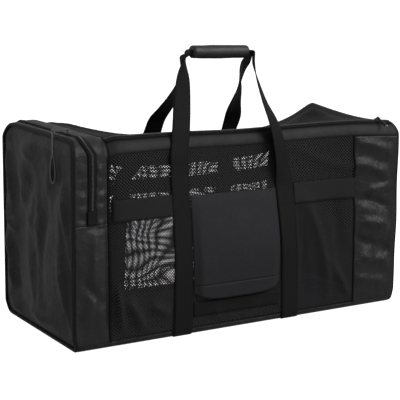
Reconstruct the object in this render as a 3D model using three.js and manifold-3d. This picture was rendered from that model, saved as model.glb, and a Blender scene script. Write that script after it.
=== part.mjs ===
// Mesh dive gear bag: a long net duffel with a zipped cloth pocket on its left end, webbing
// handles that meet in one padded grip, and a stow pocket on its front. It stands empty and closed.
// Millimetres, +X along the bag to its right end, front towards -Y, +Z up, origin on the floor
// under the middle of the bag.
import * as THREE from 'three';
import Module from 'manifold-3d';

const wasm = await Module();
wasm.setup();

// Outer sizes of the bag's body.
const length = 750;
const depth = 320;
const height = 385;
const lowRadius = 12;
const topRadius = 34;

// Cloth and tapes.
const wall = 1.5;
const gap = 0.3;
const webbingWidth = 40;
const webbingThick = 2;
const bindingWidth = 7;
const bindingProud = 4;
const rearHemBottom = 308;
const longestFacet = 46;
const leastStep = 0.6;

// Compartments and seams along the bag.
const pocketLength = 75;
const wrapLength = 113;
const seamPinch = 5;
const endBulge = 6;
const cornerPull = 7;
const cornerReach = 27;
const topDip = 11;

// Zips. The pocket's zip runs nearer the end on the top than on the front.
const zipWidth = 16;
const zipProud = 1.2;
const pocketZipFrontInset = 40;
const pocketZipTopInset = 24;
const pocketZipEnd = 230;
const zipTabLength = 26;
const hemArcShare = 0.56;
const zipArcShare = 0.94;

// Horizontal webbing band, handles and grip.
const bandBottom = 230;
const bandSetback = 6;
const frontHandleSpacing = 245;
const frontHandleMiddle = -26;
const frontRightLean = -4;
const rearHandleSpacing = 262;
const rearHandleMiddle = 11;
const gripLength = 134;
const gripRadius = 12.5;
const gripMiddle = [-18, -70, 527];
const handleEndWidth = 15;
const handleEndSpread = 3;
const handleEndGap = 0.5;

// Stow pocket between the front handles.
const stowTop = 265;
const stowHemTop = 95;
const stowHemBottom = 66;
const stowHemRise = 16;
const stowLipBottom = 35;
const stowLipHeight = 28;
const stowSideGap = 1.5;
const stowFullness = 8.5;
const stowGather = 10;

// Zip pulls.
const sliderLength = 13;
const sliderWidth = 9;
const sliderHeight = 3.4;
const pullWire = 1.8;
const eyeRadius = 1.55;
const eyeWall = 1.3;
const eyeClearance = 0.4;
const archChamfer = 0.8;
const archSink = 0.5;
const tabWaist = 0.8;
const tabThick = 1.6;
const tabReach = 30;
const linkLength = 44;
const linkInsideGap = 0.7;
const linkSideGap = 1.2;
const linkNeckHalf = 2.2;
const linkShoulder = 2;
const loopLength = 50;
const loopTopWidth = 7.5;
const loopFootWidth = 13;
const loopThick = 3.6;
const loopBar = 2.4;
const loopHoleDrop = 9;
const pocketPullY = -85;
const mainPullInset = 42;
const mainSliderTilt = 26;
const mainTabDroop = 3;
const mainSliderSink = 0.4;

// Slump of the empty bag. 'at' is a share of half the length from the middle, 'In' is a share of
// half the depth that the top edge leans in by, and 'Drop' a share of the height that it sags by.
const slumpRows = [
  { at: -1.0, frontIn: 0.0, rearIn: 0.0, frontDrop: 0.008, rearDrop: -0.005 },
  { at: -0.8, frontIn: 0.03, rearIn: 0.02, frontDrop: 0.0, rearDrop: -0.014 },
  { at: -0.4, frontIn: 0.14, rearIn: 0.16, frontDrop: -0.002, rearDrop: 0.074 },
  { at: 0.0, frontIn: 0.21, rearIn: 0.23, frontDrop: 0.004, rearDrop: 0.094 },
  { at: 0.5, frontIn: 0.16, rearIn: 0.18, frontDrop: -0.01, rearDrop: 0.08 },
  { at: 0.76, frontIn: 0.06, rearIn: 0.07, frontDrop: -0.016, rearDrop: 0.036 },
  { at: 1.0, frontIn: 0.02, rearIn: 0.02, frontDrop: -0.006, rearDrop: -0.055 },
];

// Soft dents and swells of the walls. 'along' and 'wide' are shares of half the length, 'up' and
// 'tall' shares of the height, and 'out' a share of half the depth, negative for a dent.
const dentRows = [
  { side: -1, along: -0.86, up: 0.62, wide: 0.07, tall: 0.12, out: -0.022 },
  { side: -1, along: -0.6, up: 0.3, wide: 0.16, tall: 0.22, out: 0.016 },
  { side: -1, along: -0.06, up: 0.74, wide: 0.24, tall: 0.14, out: -0.026 },
  { side: -1, along: 0.52, up: 0.5, wide: 0.16, tall: 0.3, out: -0.024 },
  { side: -1, along: 0.86, up: 0.84, wide: 0.12, tall: 0.07, out: 0.022 },
  { side: -1, along: 0.86, up: 0.66, wide: 0.12, tall: 0.08, out: -0.024 },
  { side: -1, along: 0.88, up: 0.46, wide: 0.12, tall: 0.08, out: 0.02 },
  { side: -1, along: 0.86, up: 0.28, wide: 0.12, tall: 0.08, out: -0.022 },
  { side: 1, along: -0.45, up: 0.45, wide: 0.25, tall: 0.28, out: -0.024 },
  { side: 1, along: 0.2, up: 0.6, wide: 0.25, tall: 0.25, out: 0.016 },
  { side: 1, along: 0.78, up: 0.5, wide: 0.18, tall: 0.3, out: -0.02 },
];

// Places that follow from the sizes.
const endFace = length / 2 - bindingProud;
const seamX = pocketLength - length / 2;
const wrapSeamX = length / 2 - wrapLength;
const wallTop = height - topRadius;
const bandTop = bandBottom + webbingWidth;
const frontHandles = [-1, 1].map((side) => frontHandleMiddle + (side * frontHandleSpacing) / 2);
const rearHandles = [-1, 1].map((side) => rearHandleMiddle + (side * rearHandleSpacing) / 2);
const halfWebbing = webbingWidth / 2;
const stowLeft = frontHandles[0] + halfWebbing + stowSideGap;
const stowRight = frontHandles[1] + frontRightLean - halfWebbing - stowSideGap;
const gripStart = gripMiddle[0] - gripLength / 2;
const gripEnd = gripMiddle[0] + gripLength / 2;
const tapeBottom = gap;
const tapeTop = gap + webbingThick;

// The girth is measured from the middle of the base, round the front, over the top and down the rear.
const halfFlat = depth / 2 - lowRadius;
const lowArc = (Math.PI / 2) * lowRadius;
const wallRun = height - lowRadius - topRadius;
const topArc = (Math.PI / 2) * topRadius;
const topFlat = depth / 2 - topRadius;
const halfGirth = halfFlat + lowArc + wallRun + topArc + topFlat;
const girth = 2 * halfGirth;
const frontWall = (z) => halfFlat + lowArc + z - lowRadius;
const frontArc = (share) => halfFlat + lowArc + wallRun + share * topArc;
const footArc = (share) => halfFlat + share * lowArc;
const rear = (run) => girth - run;

function profile(run, out) {
  const wrapped = ((run % girth) + girth) % girth;
  const front = wrapped <= halfGirth;
  const s = front ? wrapped : girth - wrapped;
  let y;
  let z;
  let normal;
  if (s <= halfFlat) {
    [y, z, normal] = [s, 0, [0, -1]];
  } else if (s <= halfFlat + lowArc) {
    const turn = (s - halfFlat) / lowRadius;
    normal = [Math.sin(turn), -Math.cos(turn)];
    [y, z] = [halfFlat + lowRadius * normal[0], lowRadius * (1 + normal[1])];
  } else if (s <= halfFlat + lowArc + wallRun) {
    [y, z, normal] = [depth / 2, lowRadius + s - halfFlat - lowArc, [1, 0]];
  } else if (s <= halfFlat + lowArc + wallRun + topArc) {
    const turn = (s - halfFlat - lowArc - wallRun) / topRadius;
    normal = [Math.cos(turn), Math.sin(turn)];
    [y, z] = [topFlat + topRadius * normal[0], height - topRadius + topRadius * normal[1]];
  } else {
    [y, z, normal] = [halfGirth - s, height, [0, 1]];
  }
  const sign = front ? -1 : 1;
  return { y: sign * (y + normal[0] * out), z: z + normal[1] * out };
}

const smooth = THREE.MathUtils.smoothstep;
const bell = (t) => Math.exp(-t * t);

function slumpAt(at) {
  const last = slumpRows.length - 1;
  const place = THREE.MathUtils.clamp(at, slumpRows[0].at, slumpRows[last].at);
  let i = 0;
  while (i < last - 1 && slumpRows[i + 1].at < place) i += 1;
  const [a, b] = [slumpRows[i], slumpRows[i + 1]];
  const [before, after] = [slumpRows[Math.max(i - 1, 0)], slumpRows[Math.min(i + 2, last)]];
  const span = b.at - a.at;
  const t = (place - a.at) / span;
  const values = {};
  for (const key of ['frontIn', 'rearIn', 'frontDrop', 'rearDrop']) {
    const slopeA = ((b[key] - before[key]) / (b.at - before.at)) * span;
    const slopeB = ((after[key] - a[key]) / (after.at - a.at)) * span;
    const rise = t * t * (3 - 2 * t);
    values[key] = a[key] + (b[key] - a[key]) * rise
      + slopeA * t * (1 - t) ** 2 - slopeB * t * t * (1 - t);
  }
  return values;
}

// Moves a point of the trim, full bag to where the cloth of the slumped bag has it.
function slump(x, y, z) {
  const at = x / (length / 2);
  const side = y < 0 ? -1 : 1;
  const outward = Math.abs(y) / (depth / 2);
  const values = slumpAt(at);
  const rise = smooth(z, height * 0.3, height);
  const rearness = smooth(y, -depth / 2, depth / 2);
  const dip = topDip * Math.max(0, 1 - outward * outward) * smooth(x, seamX - 20, seamX + 60);
  const drop = height * THREE.MathUtils.lerp(values.frontDrop, values.rearDrop, rearness) + dip;
  const lean = side < 0 ? values.frontIn : values.rearIn;
  const pinch = seamPinch * bell((x - seamX) / 13);
  let newY = y * (1 - lean * rise);
  newY -= side * pinch * smooth(outward, 0.6, 1) * smooth(z, 0, height * 0.15);
  for (const row of dentRows) {
    const push = row.out * (depth / 2) * smooth(outward, 0.55, 0.9) * (row.side === side ? 1 : 0);
    const high = bell((z / height - row.up) / row.tall) * smooth(z, lowRadius, lowRadius + 40);
    newY += side * push * bell((at - row.along) / row.wide) * high;
  }
  const newZ = z - drop * rise ** 1.5 - pinch * smooth(z, height * 0.75, height);
  const middle = (1 - outward * outward) * Math.max(0, 1 - ((2 * z) / height - 1) ** 2);
  const nearEnd = smooth(Math.abs(at), 0.84, 1);
  const corner = Math.max(0, 1 - Math.min(z, height - z) / cornerReach);
  const newX = x + Math.sign(x) * (endBulge * Math.max(0, middle) - cornerPull * corner) * nearEnd;
  return new THREE.Vector3(newX, newY, newZ);
}

function skin(x, run, out) {
  const p = profile(run, out);
  return slump(x, p.y, p.z);
}

// Fills between named edges so that no interval is longer than one facet.
function spread(edges, step = longestFacet) {
  const sorted = [...edges].sort((a, b) => a - b);
  const stations = [sorted[0]];
  for (let i = 1; i < sorted.length; i += 1) {
    const from = sorted[i - 1];
    const count = Math.max(1, Math.ceil((sorted[i] - from) / step - 1e-6));
    for (let k = 1; k <= count; k += 1) stations.push(from + ((sorted[i] - from) * k) / count);
  }
  return stations;
}

const between = (stations, low, high) => [
  low, ...stations.filter((s) => s > low + leastStep && s < high - leastStep), high,
];

const handleEdges = [...frontHandles, ...rearHandles]
  .flatMap((x) => [x - halfWebbing, x + halfWebbing]);
const mainStations = spread([seamX, ...handleEdges, stowLeft, stowRight, wrapSeamX, endFace]);
const pocketStations = spread([-endFace, seamX], 25);
const wallStations = spread([
  lowRadius, stowLipBottom, stowLipBottom + stowLipHeight, stowHemTop, bandBottom,
  pocketZipEnd + zipTabLength, stowTop, bandTop, rearHemBottom, wallTop,
]);
const arcShares = [0.25, hemArcShare, zipArcShare];
const frontRuns = [
  ...[0, 0.45, 0.72].map(footArc), ...wallStations.map(frontWall), ...arcShares.map(frontArc),
];
const topRuns = spread([frontArc(1), halfGirth, rear(frontArc(1))], 64);
const runStations = [
  ...frontRuns, ...topRuns, ...[...frontRuns].reverse().map(rear),
];

// Closes two facing grids of points, outer and inner, into one body with its faces outward.
function slab(outer, inner) {
  const columns = outer.length;
  const rows = outer[0].length;
  const points = [];
  for (const grid of [outer, inner]) for (const column of grid) points.push(...column);
  const at = (layer, i, j) => layer * columns * rows + i * rows + j;
  const faces = [];
  const quad = (a, b, c, d) => faces.push([a, b, c], [a, c, d]);
  for (let i = 0; i < columns - 1; i += 1) {
    for (let j = 0; j < rows - 1; j += 1) {
      quad(at(0, i, j), at(0, i + 1, j), at(0, i + 1, j + 1), at(0, i, j + 1));
      faces.push([at(1, i, j), at(1, i + 1, j + 1), at(1, i + 1, j)]);
      faces.push([at(1, i, j), at(1, i, j + 1), at(1, i + 1, j + 1)]);
    }
    quad(at(1, i, 0), at(1, i + 1, 0), at(0, i + 1, 0), at(0, i, 0));
    quad(at(0, i, rows - 1), at(0, i + 1, rows - 1), at(1, i + 1, rows - 1), at(1, i, rows - 1));
  }
  for (let j = 0; j < rows - 1; j += 1) {
    quad(at(0, 0, j), at(0, 0, j + 1), at(1, 0, j + 1), at(1, 0, j));
    const last = columns - 1;
    quad(at(1, last, j), at(1, last, j + 1), at(0, last, j + 1), at(0, last, j));
  }
  return closedBody(points, faces);
}

function closedBody(points, faces) {
  let volume = 0;
  const cross = new THREE.Vector3();
  for (const [a, b, c] of faces) volume += points[a].dot(cross.crossVectors(points[b], points[c]));
  const turned = volume < 0 ? faces.map(([a, b, c]) => [a, c, b]) : faces;
  const geometry = new THREE.BufferGeometry();
  const positions = points.flatMap((p) => p.toArray());
  geometry.setAttribute('position', new THREE.Float32BufferAttribute(positions, 3));
  geometry.setIndex(turned.flat());
  geometry.computeVertexNormals();
  return geometry;
}

// A piece of cloth or tape on the skin, from one run round the girth to another. Its ends along
// the bag are numbers, or functions of the run where an edge wanders.
function panel(xs, runs, innerOut, outerOut) {
  const place = (x, run) => (typeof x === 'function' ? x(run) : x);
  const layer = (out) => xs.map((x) => runs.map((run) => skin(place(x, run), run, out)));
  return slab(layer(outerOut), layer(innerOut));
}

// A flat end wall of the bag: rings of points from the middle to its rim.
function endWall(x, thickness, rimOut) {
  const runs = runStations;
  const shares = [0.3, 0.62, 0.86, 1];
  const points = [];
  const faces = [];
  for (const layer of [0, 1]) {
    const px = x + layer * thickness;
    points.push(slump(px, 0, height / 2));
    for (const share of shares) {
      for (const run of runs) {
        const p = profile(run, rimOut);
        points.push(slump(px, p.y * share, height / 2 + (p.z - height / 2) * share));
      }
    }
  }
  const count = runs.length;
  const size = 1 + shares.length * count;
  const at = (layer, ring, i) => layer * size + 1 + ring * count + (i % count);
  for (let i = 0; i < count; i += 1) {
    faces.push([0, at(0, 0, i), at(0, 0, i + 1)], [size, at(1, 0, i + 1), at(1, 0, i)]);
    for (let ring = 0; ring < shares.length - 1; ring += 1) {
      faces.push([at(0, ring, i), at(0, ring + 1, i), at(0, ring + 1, i + 1)]);
      faces.push([at(0, ring, i), at(0, ring + 1, i + 1), at(0, ring, i + 1)]);
      faces.push([at(1, ring, i), at(1, ring + 1, i + 1), at(1, ring + 1, i)]);
      faces.push([at(1, ring, i), at(1, ring, i + 1), at(1, ring + 1, i + 1)]);
    }
    const rim = shares.length - 1;
    faces.push([at(0, rim, i), at(1, rim, i), at(1, rim, i + 1)]);
    faces.push([at(0, rim, i), at(1, rim, i + 1), at(0, rim, i + 1)]);
  }
  return closedBody(points, faces);
}

// The folded tape that binds the rim of an end wall.
function bindingRing(side) {
  const base = side * (endFace + gap);
  const face = side * (length / 2);
  const soft = side * (bindingProud * 0.3);
  const section = [
    [base, -bindingWidth], [face - soft, -bindingWidth], [face, -bindingWidth * 0.7],
    [face, -bindingWidth * 0.3], [face - soft, -gap], [base, -gap],
  ];
  const points = [];
  const faces = [];
  const count = runStations.length;
  for (const run of runStations) for (const [x, out] of section) points.push(skin(x, run, out));
  const at = (i, k) => (i % count) * section.length + (k % section.length);
  for (let i = 0; i < count; i += 1) {
    for (let k = 0; k < section.length; k += 1) {
      faces.push([at(i, k), at(i + 1, k), at(i + 1, k + 1)]);
      faces.push([at(i, k), at(i + 1, k + 1), at(i, k + 1)]);
    }
  }
  return closedBody(points, faces);
}

const root = new THREE.Group();

const finishes = {
  net: { color: 0x1b1b1e, roughness: 0.7, metalness: 0 },
  cloth: { color: 0x252426, roughness: 0.5, metalness: 0 },
  pocketCloth: { color: 0x2c2c31, roughness: 0.55, metalness: 0 },
  webbing: { color: 0x222221, roughness: 0.75, metalness: 0 },
  binding: { color: 0x1d1c1e, roughness: 0.7, metalness: 0 },
  zip: { color: 0x18181a, roughness: 0.5, metalness: 0 },
  metal: { color: 0x9a9a98, roughness: 0.3, metalness: 1 },
  moulded: { color: 0x141415, roughness: 0.35, metalness: 0 },
};

function add(name, geometry, finish) {
  const mesh = new THREE.Mesh(geometry, new THREE.MeshStandardMaterial(finishes[finish]));
  mesh.name = name;
  root.add(mesh);
  return mesh;
}

// Walls of the main compartment and the base.
const inner = endFace - wall - gap;
const mainXs = between(mainStations, seamX + gap / 2, inner);
const netXs = between(mainStations, seamX + gap / 2, wrapSeamX - gap / 2);
const wrapXs = between(mainStations, wrapSeamX + gap / 2, inner);
const baseXs = between([...pocketStations, ...mainStations], -inner, inner);
const baseEdge = footArc(1) - gap / 2;
const baseHalf = [halfFlat, footArc(0.45), footArc(0.72), baseEdge];
const baseRuns = [...[...baseHalf].reverse().map((run) => -run), 0, ...baseHalf];
const runsBetween = (from, to) => between(runStations, from + gap / 2, to - gap / 2);
const sideRuns = runsBetween(frontWall(lowRadius), frontWall(wallTop));
const rearSideRuns = runsBetween(frontWall(lowRadius), frontWall(rearHemBottom));
const hemRuns = runsBetween(frontWall(wallTop), frontArc(hemArcShare));
const rearHemRuns = runsBetween(frontWall(rearHemBottom), frontArc(hemArcShare));
const zipRuns = runsBetween(frontArc(hemArcShare), frontArc(zipArcShare));
const lidRuns = runsBetween(frontArc(zipArcShare), rear(frontArc(hemArcShare)));
const mirrored = (runs) => [...runs].reverse().map(rear);

add('base_panel', panel(baseXs, baseRuns, -wall, 0), 'cloth');
add('front_net_panel', panel(netXs, sideRuns, -wall, 0), 'net');
add('rear_net_panel', panel(netXs, mirrored(rearSideRuns), -wall, 0), 'net');
add('front_wrap_panel', panel(wrapXs, sideRuns, -wall, 0), 'cloth');
add('rear_wrap_panel', panel(wrapXs, mirrored(rearSideRuns), -wall, 0), 'cloth');
add('front_hem', panel(mainXs, hemRuns, -wall, 0), 'cloth');
add('rear_hem', panel(mainXs, mirrored(rearHemRuns), -wall, 0), 'cloth');
add('main_zip', panel(mainXs, zipRuns, -wall, zipProud), 'zip');
add('lid_panel', panel(mainXs, lidRuns, -wall, 0), 'cloth');
add('right_end_panel', endWall(endFace, -wall, -gap), 'cloth');
add('divider_panel', endWall(seamX - wall / 2, wall, -wall - gap), 'cloth');
add('right_end_binding', bindingRing(1), 'binding');

// The pocket on the left end: its outer wall, the gusset round it and the zip that splits this.
const zipCentre = (run) => {
  const up = profile(run, 0).z;
  const inset = smooth(up, wallTop, height) * (pocketZipTopInset - pocketZipFrontInset);
  return pocketZipFrontInset - length / 2 + inset;
};
const zipOuterEdge = (run) => zipCentre(run) - zipWidth / 2;
const zipInnerEdge = (run) => zipCentre(run) + zipWidth / 2;
const zipStart = frontWall(pocketZipEnd) + gap / 2;
const gussetRuns = between(runStations, zipStart, rear(zipStart));
const lowerRuns = runsBetween(frontWall(lowRadius), frontWall(pocketZipEnd));
const zipTabRuns = between(runStations, zipStart, frontWall(pocketZipEnd + zipTabLength));
const gussetXs = between(pocketStations, -inner, seamX - gap / 2);
const shareBetween = (from, to, share) => (run) => THREE.MathUtils.lerp(from(run), to(run), share);
const stripEdges = [(run) => zipInnerEdge(run) + gap, () => seamX - gap / 2];
const innerStrip = [0, 0.5, 1].map((t) => shareBetween(...stripEdges, t));

add('end_pocket_panel', endWall(-endFace, wall, -gap), 'cloth');
add('end_pocket_binding', bindingRing(-1), 'binding');
add('gusset_outer_strip', panel([-inner, (run) => zipOuterEdge(run) - gap], gussetRuns, -wall, 0), 'cloth');
add('gusset_inner_strip', panel(innerStrip, gussetRuns, -wall, 0), 'cloth');
add('gusset_front_lower', panel(gussetXs, lowerRuns, -wall, 0), 'cloth');
add('gusset_rear_lower', panel(gussetXs, mirrored(lowerRuns), -wall, 0), 'cloth');
add('pocket_zip', panel([zipOuterEdge, zipInnerEdge], gussetRuns, -wall, zipProud), 'zip');
const tabInner = zipProud + gap;
const tabXs = [(run) => zipOuterEdge(run) - 2, (run) => zipInnerEdge(run) + 2];
add('zip_end_tab_front', panel(tabXs, zipTabRuns, tabInner, tabInner + wall), 'webbing');
add('zip_end_tab_rear', panel(tabXs, mirrored(zipTabRuns), tabInner, tabInner + wall), 'webbing');

// Stow pocket: a full pouch sewn along its top and sides, with a loose hem over its mouth.
function fullness(x, z) {
  const across = Math.abs((2 * x - stowLeft - stowRight) / (stowRight - stowLeft));
  const edges = 1 - smooth(across, 0.82, 1);
  const downward = smooth((stowTop - z) / (stowTop - stowHemTop), 0, 0.9);
  return stowFullness * edges * (0.25 * smooth(stowTop - z, 0, 20) + 0.75 * downward);
}
const stowStations = [...mainStations, stowLeft + stowGather, stowRight - stowGather];
const stowXs = between(stowStations.sort((a, b) => a - b), stowLeft, stowRight);
const stowZs = wallStations.filter((z) => z >= stowHemTop && z <= stowTop);
function pouch(xs, zs, lift, thickness, lowest = () => 0) {
  const layer = (out) => xs.map((x) => zs.map((z) => {
    const down = Math.max(z, lowest(x));
    return skin(x, frontWall(down), gap + out + fullness(x, down));
  }));
  return slab(layer(lift + thickness), layer(lift));
}
add('stow_pocket', pouch(stowXs, stowZs, 0, wall), 'pocketCloth');
const hemEdge = (x, t) => {
  const across = (2 * x - stowLeft - stowRight) / (stowRight - stowLeft);
  const low = stowHemBottom + stowHemRise * across ** 4;
  return THREE.MathUtils.lerp(low, stowHemTop - gap, t);
};
const hemLayer = (out) => stowXs.map((x) => [0, 0.5, 1].map((t) => {
  const z = hemEdge(x, t);
  return skin(x, frontWall(z), gap + out + fullness(x, z));
}));
add('stow_pocket_hem', slab(hemLayer(wall), hemLayer(0)), 'webbing');
const lipRuns = between(runStations, frontWall(stowLipBottom), frontWall(stowLipBottom + stowLipHeight));
const lipXs = between(mainStations, stowLeft, stowRight);
add('stow_pocket_lip', panel(lipXs, lipRuns, tapeBottom, gap + wall), 'webbing');

// Handles. Each strap is sewn to the bag up to the band, lies against it up to the hem, and runs
// free from there. 'turn' is the way its width points in plan, in degrees from +X, and 'open' how far
// its left edge has swung off the wall at two heights between the band and the hem.
const strapRoutes = [
  {
    name: 'front_left_strap', x: frontHandles[0], lean: 0, drift: 0, open: [0, 0],
    endX: gripStart, endZ: 1, free: [
      { x: -137, y: -129, z: 392, turn: 4, width: 38 },
      { x: -123, y: -108, z: 436, turn: 6, width: 37 },
      { x: -110, y: -91, z: 480, turn: 18, width: 33 },
      { x: -101, y: -81, z: 508, turn: 48, width: 25 },
      { x: -96, y: -79, z: 525, turn: 76, width: 17 },
    ],
  },
  {
    name: 'front_right_strap', x: frontHandles[1], lean: frontRightLean, drift: -14, open: [22, 26],
    endX: gripEnd, endZ: 1, free: [
      { x: 72, y: -131, z: 392, turn: 28, width: 36 },
      { x: 63, y: -112, z: 432, turn: 42, width: 32 },
      { x: 56, y: -96, z: 474, turn: 52, width: 29 },
      { x: 54, y: -85, z: 505, turn: 66, width: 23 },
      { x: 56, y: -80, z: 524, turn: 80, width: 17 },
    ],
  },
  {
    name: 'rear_left_strap', x: rearHandles[0], lean: 4, drift: 50, open: [0, 0],
    endX: gripStart, endZ: -1, free: [
      { x: -64, y: 92, z: 384, turn: -4, width: 38 },
      { x: -60, y: 62, z: 412, turn: 10, width: 37 },
      { x: -61, y: 28, z: 440, turn: 24, width: 34 },
      { x: -72, y: -10, z: 470, turn: 44, width: 30 },
      { x: -88, y: -42, z: 497, turn: 66, width: 24 },
      { x: -97, y: -58, z: 514, turn: 82, width: 17 },
    ],
  },
  {
    name: 'rear_right_strap', x: rearHandles[1], lean: -2, drift: -14, open: [0, 0],
    endX: gripEnd, endZ: -1, free: [
      { x: 124, y: 94, z: 382, turn: -6, width: 38 },
      { x: 108, y: 66, z: 408, turn: 18, width: 36 },
      { x: 93, y: 32, z: 440, turn: 40, width: 32 },
      { x: 74, y: -4, z: 470, turn: 62, width: 28 },
      { x: 60, y: -36, z: 496, turn: 78, width: 22 },
      { x: 58, y: -56, z: 512, turn: 86, width: 17 },
    ],
  },
];

// Middle of a strap where it is sewn down: 'lean' is how far it is off upright at the band's top.
function sewnX(route, z) {
  return route.x + route.lean * ((2 * z) / bandTop - 1);
}

// Where a strap lies loose on the bag over the band: 'lift' is how far it stands off, and 'share' how
// much of its drift along the bag it has made. The rear ones lie on up the curve of the top edge.
const lyingRows = [
  { run: frontWall((bandTop + wallTop) / 2), lift: 1, share: 0.4 },
  { run: frontWall(wallTop - 6), lift: 2.4, share: 0.75 },
  { run: frontArc(0.35), lift: 3.2, share: 0.92, rearOnly: true },
  { run: frontArc(0.75), lift: 4, share: 1, rearOnly: true },
];

function strap(route) {
  const behind = route.endZ < 0;
  const topX = (share) => sewnX(route, bandTop) + route.drift * share;
  const sewn = between(runStations, footArc(0.45), frontWall(bandTop));
  const rows = sewn.map((run) => ({ run, lift: 0, x: sewnX(route, profile(run, 0).z), open: 0 }));
  lyingRows.filter((row) => behind || !row.rearOnly).forEach((row, i) => {
    rows.push({ ...row, x: topX(row.share), open: route.open[i] ?? 0 });
  });
  const columns = rows.map(({ run, lift, x, open }) => {
    const along = behind ? rear(run) : run;
    const reach = halfWebbing * Math.cos(THREE.MathUtils.degToRad(open));
    const standOff = webbingWidth * Math.sin(THREE.MathUtils.degToRad(open));
    const side = (px, out) => skin(px, along, out + lift);
    return [[-reach, standOff], [reach, 0]].map(([half, off]) => ({
      low: side(x + half, tapeBottom + off), high: side(x + half, tapeTop + off),
    }));
  });
  const inward = route.endX < gripMiddle[0] ? 1 : -1;
  const endAt = {
    x: route.endX - inward * handleEndGap, y: gripMiddle[1] + route.endZ * -1,
    z: gripMiddle[2] + route.endZ * handleEndSpread, turn: 90, width: handleEndWidth,
  };
  const stations = [...route.free, endAt];
  const centres = stations.map((s) => new THREE.Vector3(s.x, s.y, s.z));
  const lastLying = columns[columns.length - 1];
  const before = lastLying[0].low.clone().add(lastLying[1].high).multiplyScalar(0.5);
  stations.forEach((s, i) => {
    const previous = i ? centres[i - 1] : before;
    const next = centres[i + 1] ?? centres[i];
    const tangent = next.clone().sub(previous).normalize();
    const turn = THREE.MathUtils.degToRad(s.turn);
    const across = new THREE.Vector3(Math.cos(turn), Math.sin(turn), 0);
    if (i === stations.length - 1) tangent.set(inward, 0, 0);
    across.addScaledVector(tangent, -across.dot(tangent)).normalize();
    const outward = new THREE.Vector3().crossVectors(across, tangent).multiplyScalar(behind ? -1 : 1);
    const at = (half, lift) => centres[i].clone().addScaledVector(across, half * s.width)
      .addScaledVector(outward, lift * webbingThick);
    columns.push([-0.5, 0.5].map((half) => ({ low: at(half, -0.5), high: at(half, 0.5) })));
  });
  const ordered = behind ? columns.reverse() : columns;
  const grid = (layer) => [0, 1].map((edge) => ordered.map((column) => column[edge][layer]));
  return slab(grid('high'), grid('low'));
}
for (const route of strapRoutes) add(route.name, strap(route), 'webbing');

// The webbing band round the front and the rear, cut where the handles and the stow pocket cover it.
const bandRuns = between(runStations, frontWall(bandBottom), frontWall(bandTop));
const [frontLeft, frontRight, rearLeft, rearRight] = strapRoutes;
function strapEdge(route, side) {
  const low = sewnX(route, bandBottom);
  const high = sewnX(route, bandTop);
  return (side < 0 ? Math.min(low, high) : Math.max(low, high)) + side * (halfWebbing + gap);
}
const bandPieces = [
  ['front_band_left', seamX + bandSetback, strapEdge(frontLeft, -1), false],
  ['front_band_right', strapEdge(frontRight, 1), wrapSeamX - gap, false],
  ['rear_band_left', seamX + bandSetback, strapEdge(rearLeft, -1), true],
  ['rear_band_middle', strapEdge(rearLeft, 1), strapEdge(rearRight, -1), true],
  ['rear_band_right', strapEdge(rearRight, 1), wrapSeamX - gap, true],
];
for (const [name, from, to, behind] of bandPieces) {
  const runs = behind ? mirrored(bandRuns) : bandRuns;
  add(name, panel(between(mainStations, from, to), runs, tapeBottom, tapeTop), 'webbing');
}

// Padded grip wrapped round the four strap ends.
const gripOutline = [
  [0, 0], [0.72, 0], [0.92, 0.025], [1, 0.08], [1, 0.5], [1, 0.92], [0.92, 0.975], [0.72, 1], [0, 1],
].map(([r, t]) => new THREE.Vector2(r * gripRadius, t * gripLength));
const gripGeometry = new THREE.LatheGeometry(gripOutline, 14);
gripGeometry.rotateZ(-Math.PI / 2);
gripGeometry.translate(gripStart, gripMiddle[1], gripMiddle[2]);
add('grip_wrap', gripGeometry, 'pocketCloth');

// Zip sliders and pulls, in a frame with the zip along Y, the slider's back up and the tab to -X.
function solidOf(geometry) {
  const flat = geometry.index ? geometry.toNonIndexed() : geometry;
  const positions = flat.getAttribute('position');
  const keys = new Map();
  const vertices = [];
  const indices = [];
  for (let i = 0; i < positions.count; i += 1) {
    const p = [positions.getX(i), positions.getY(i), positions.getZ(i)];
    const key = p.map((v) => Math.round(v * 1e4)).join(',');
    if (!keys.has(key)) {
      keys.set(key, vertices.length / 3);
      vertices.push(...p);
    }
    indices.push(keys.get(key));
  }
  const kept = [];
  for (let i = 0; i < indices.length; i += 3) {
    const [a, b, c] = indices.slice(i, i + 3);
    if (a !== b && b !== c && c !== a) kept.push(a, b, c);
  }
  return new wasm.Manifold(new wasm.Mesh({
    numProp: 3, vertProperties: new Float32Array(vertices), triVerts: new Uint32Array(kept),
  }));
}

function geometryOf(solid) {
  const mesh = solid.getMesh();
  const geometry = new THREE.BufferGeometry();
  geometry.setAttribute('position', new THREE.Float32BufferAttribute(mesh.vertProperties, 3));
  geometry.setIndex([...mesh.triVerts]);
  geometry.computeVertexNormals();
  return geometry;
}

const extrude = (shape, thickness) => new THREE.ExtrudeGeometry(
  shape, { depth: thickness, bevelEnabled: false, curveSegments: 6 },
);
// Stands a shape that is drawn flat upright, its first axis along Y and its second up.
const stand = (geometry, thickness) => geometry.applyMatrix4(
  new THREE.Matrix4().set(0, 0, 1, -thickness / 2, 1, 0, 0, 0, 0, 1, 0, 0, 0, 0, 0, 1),
);
const barHeight = sliderHeight + eyeRadius + eyeWall + eyeClearance;

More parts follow.
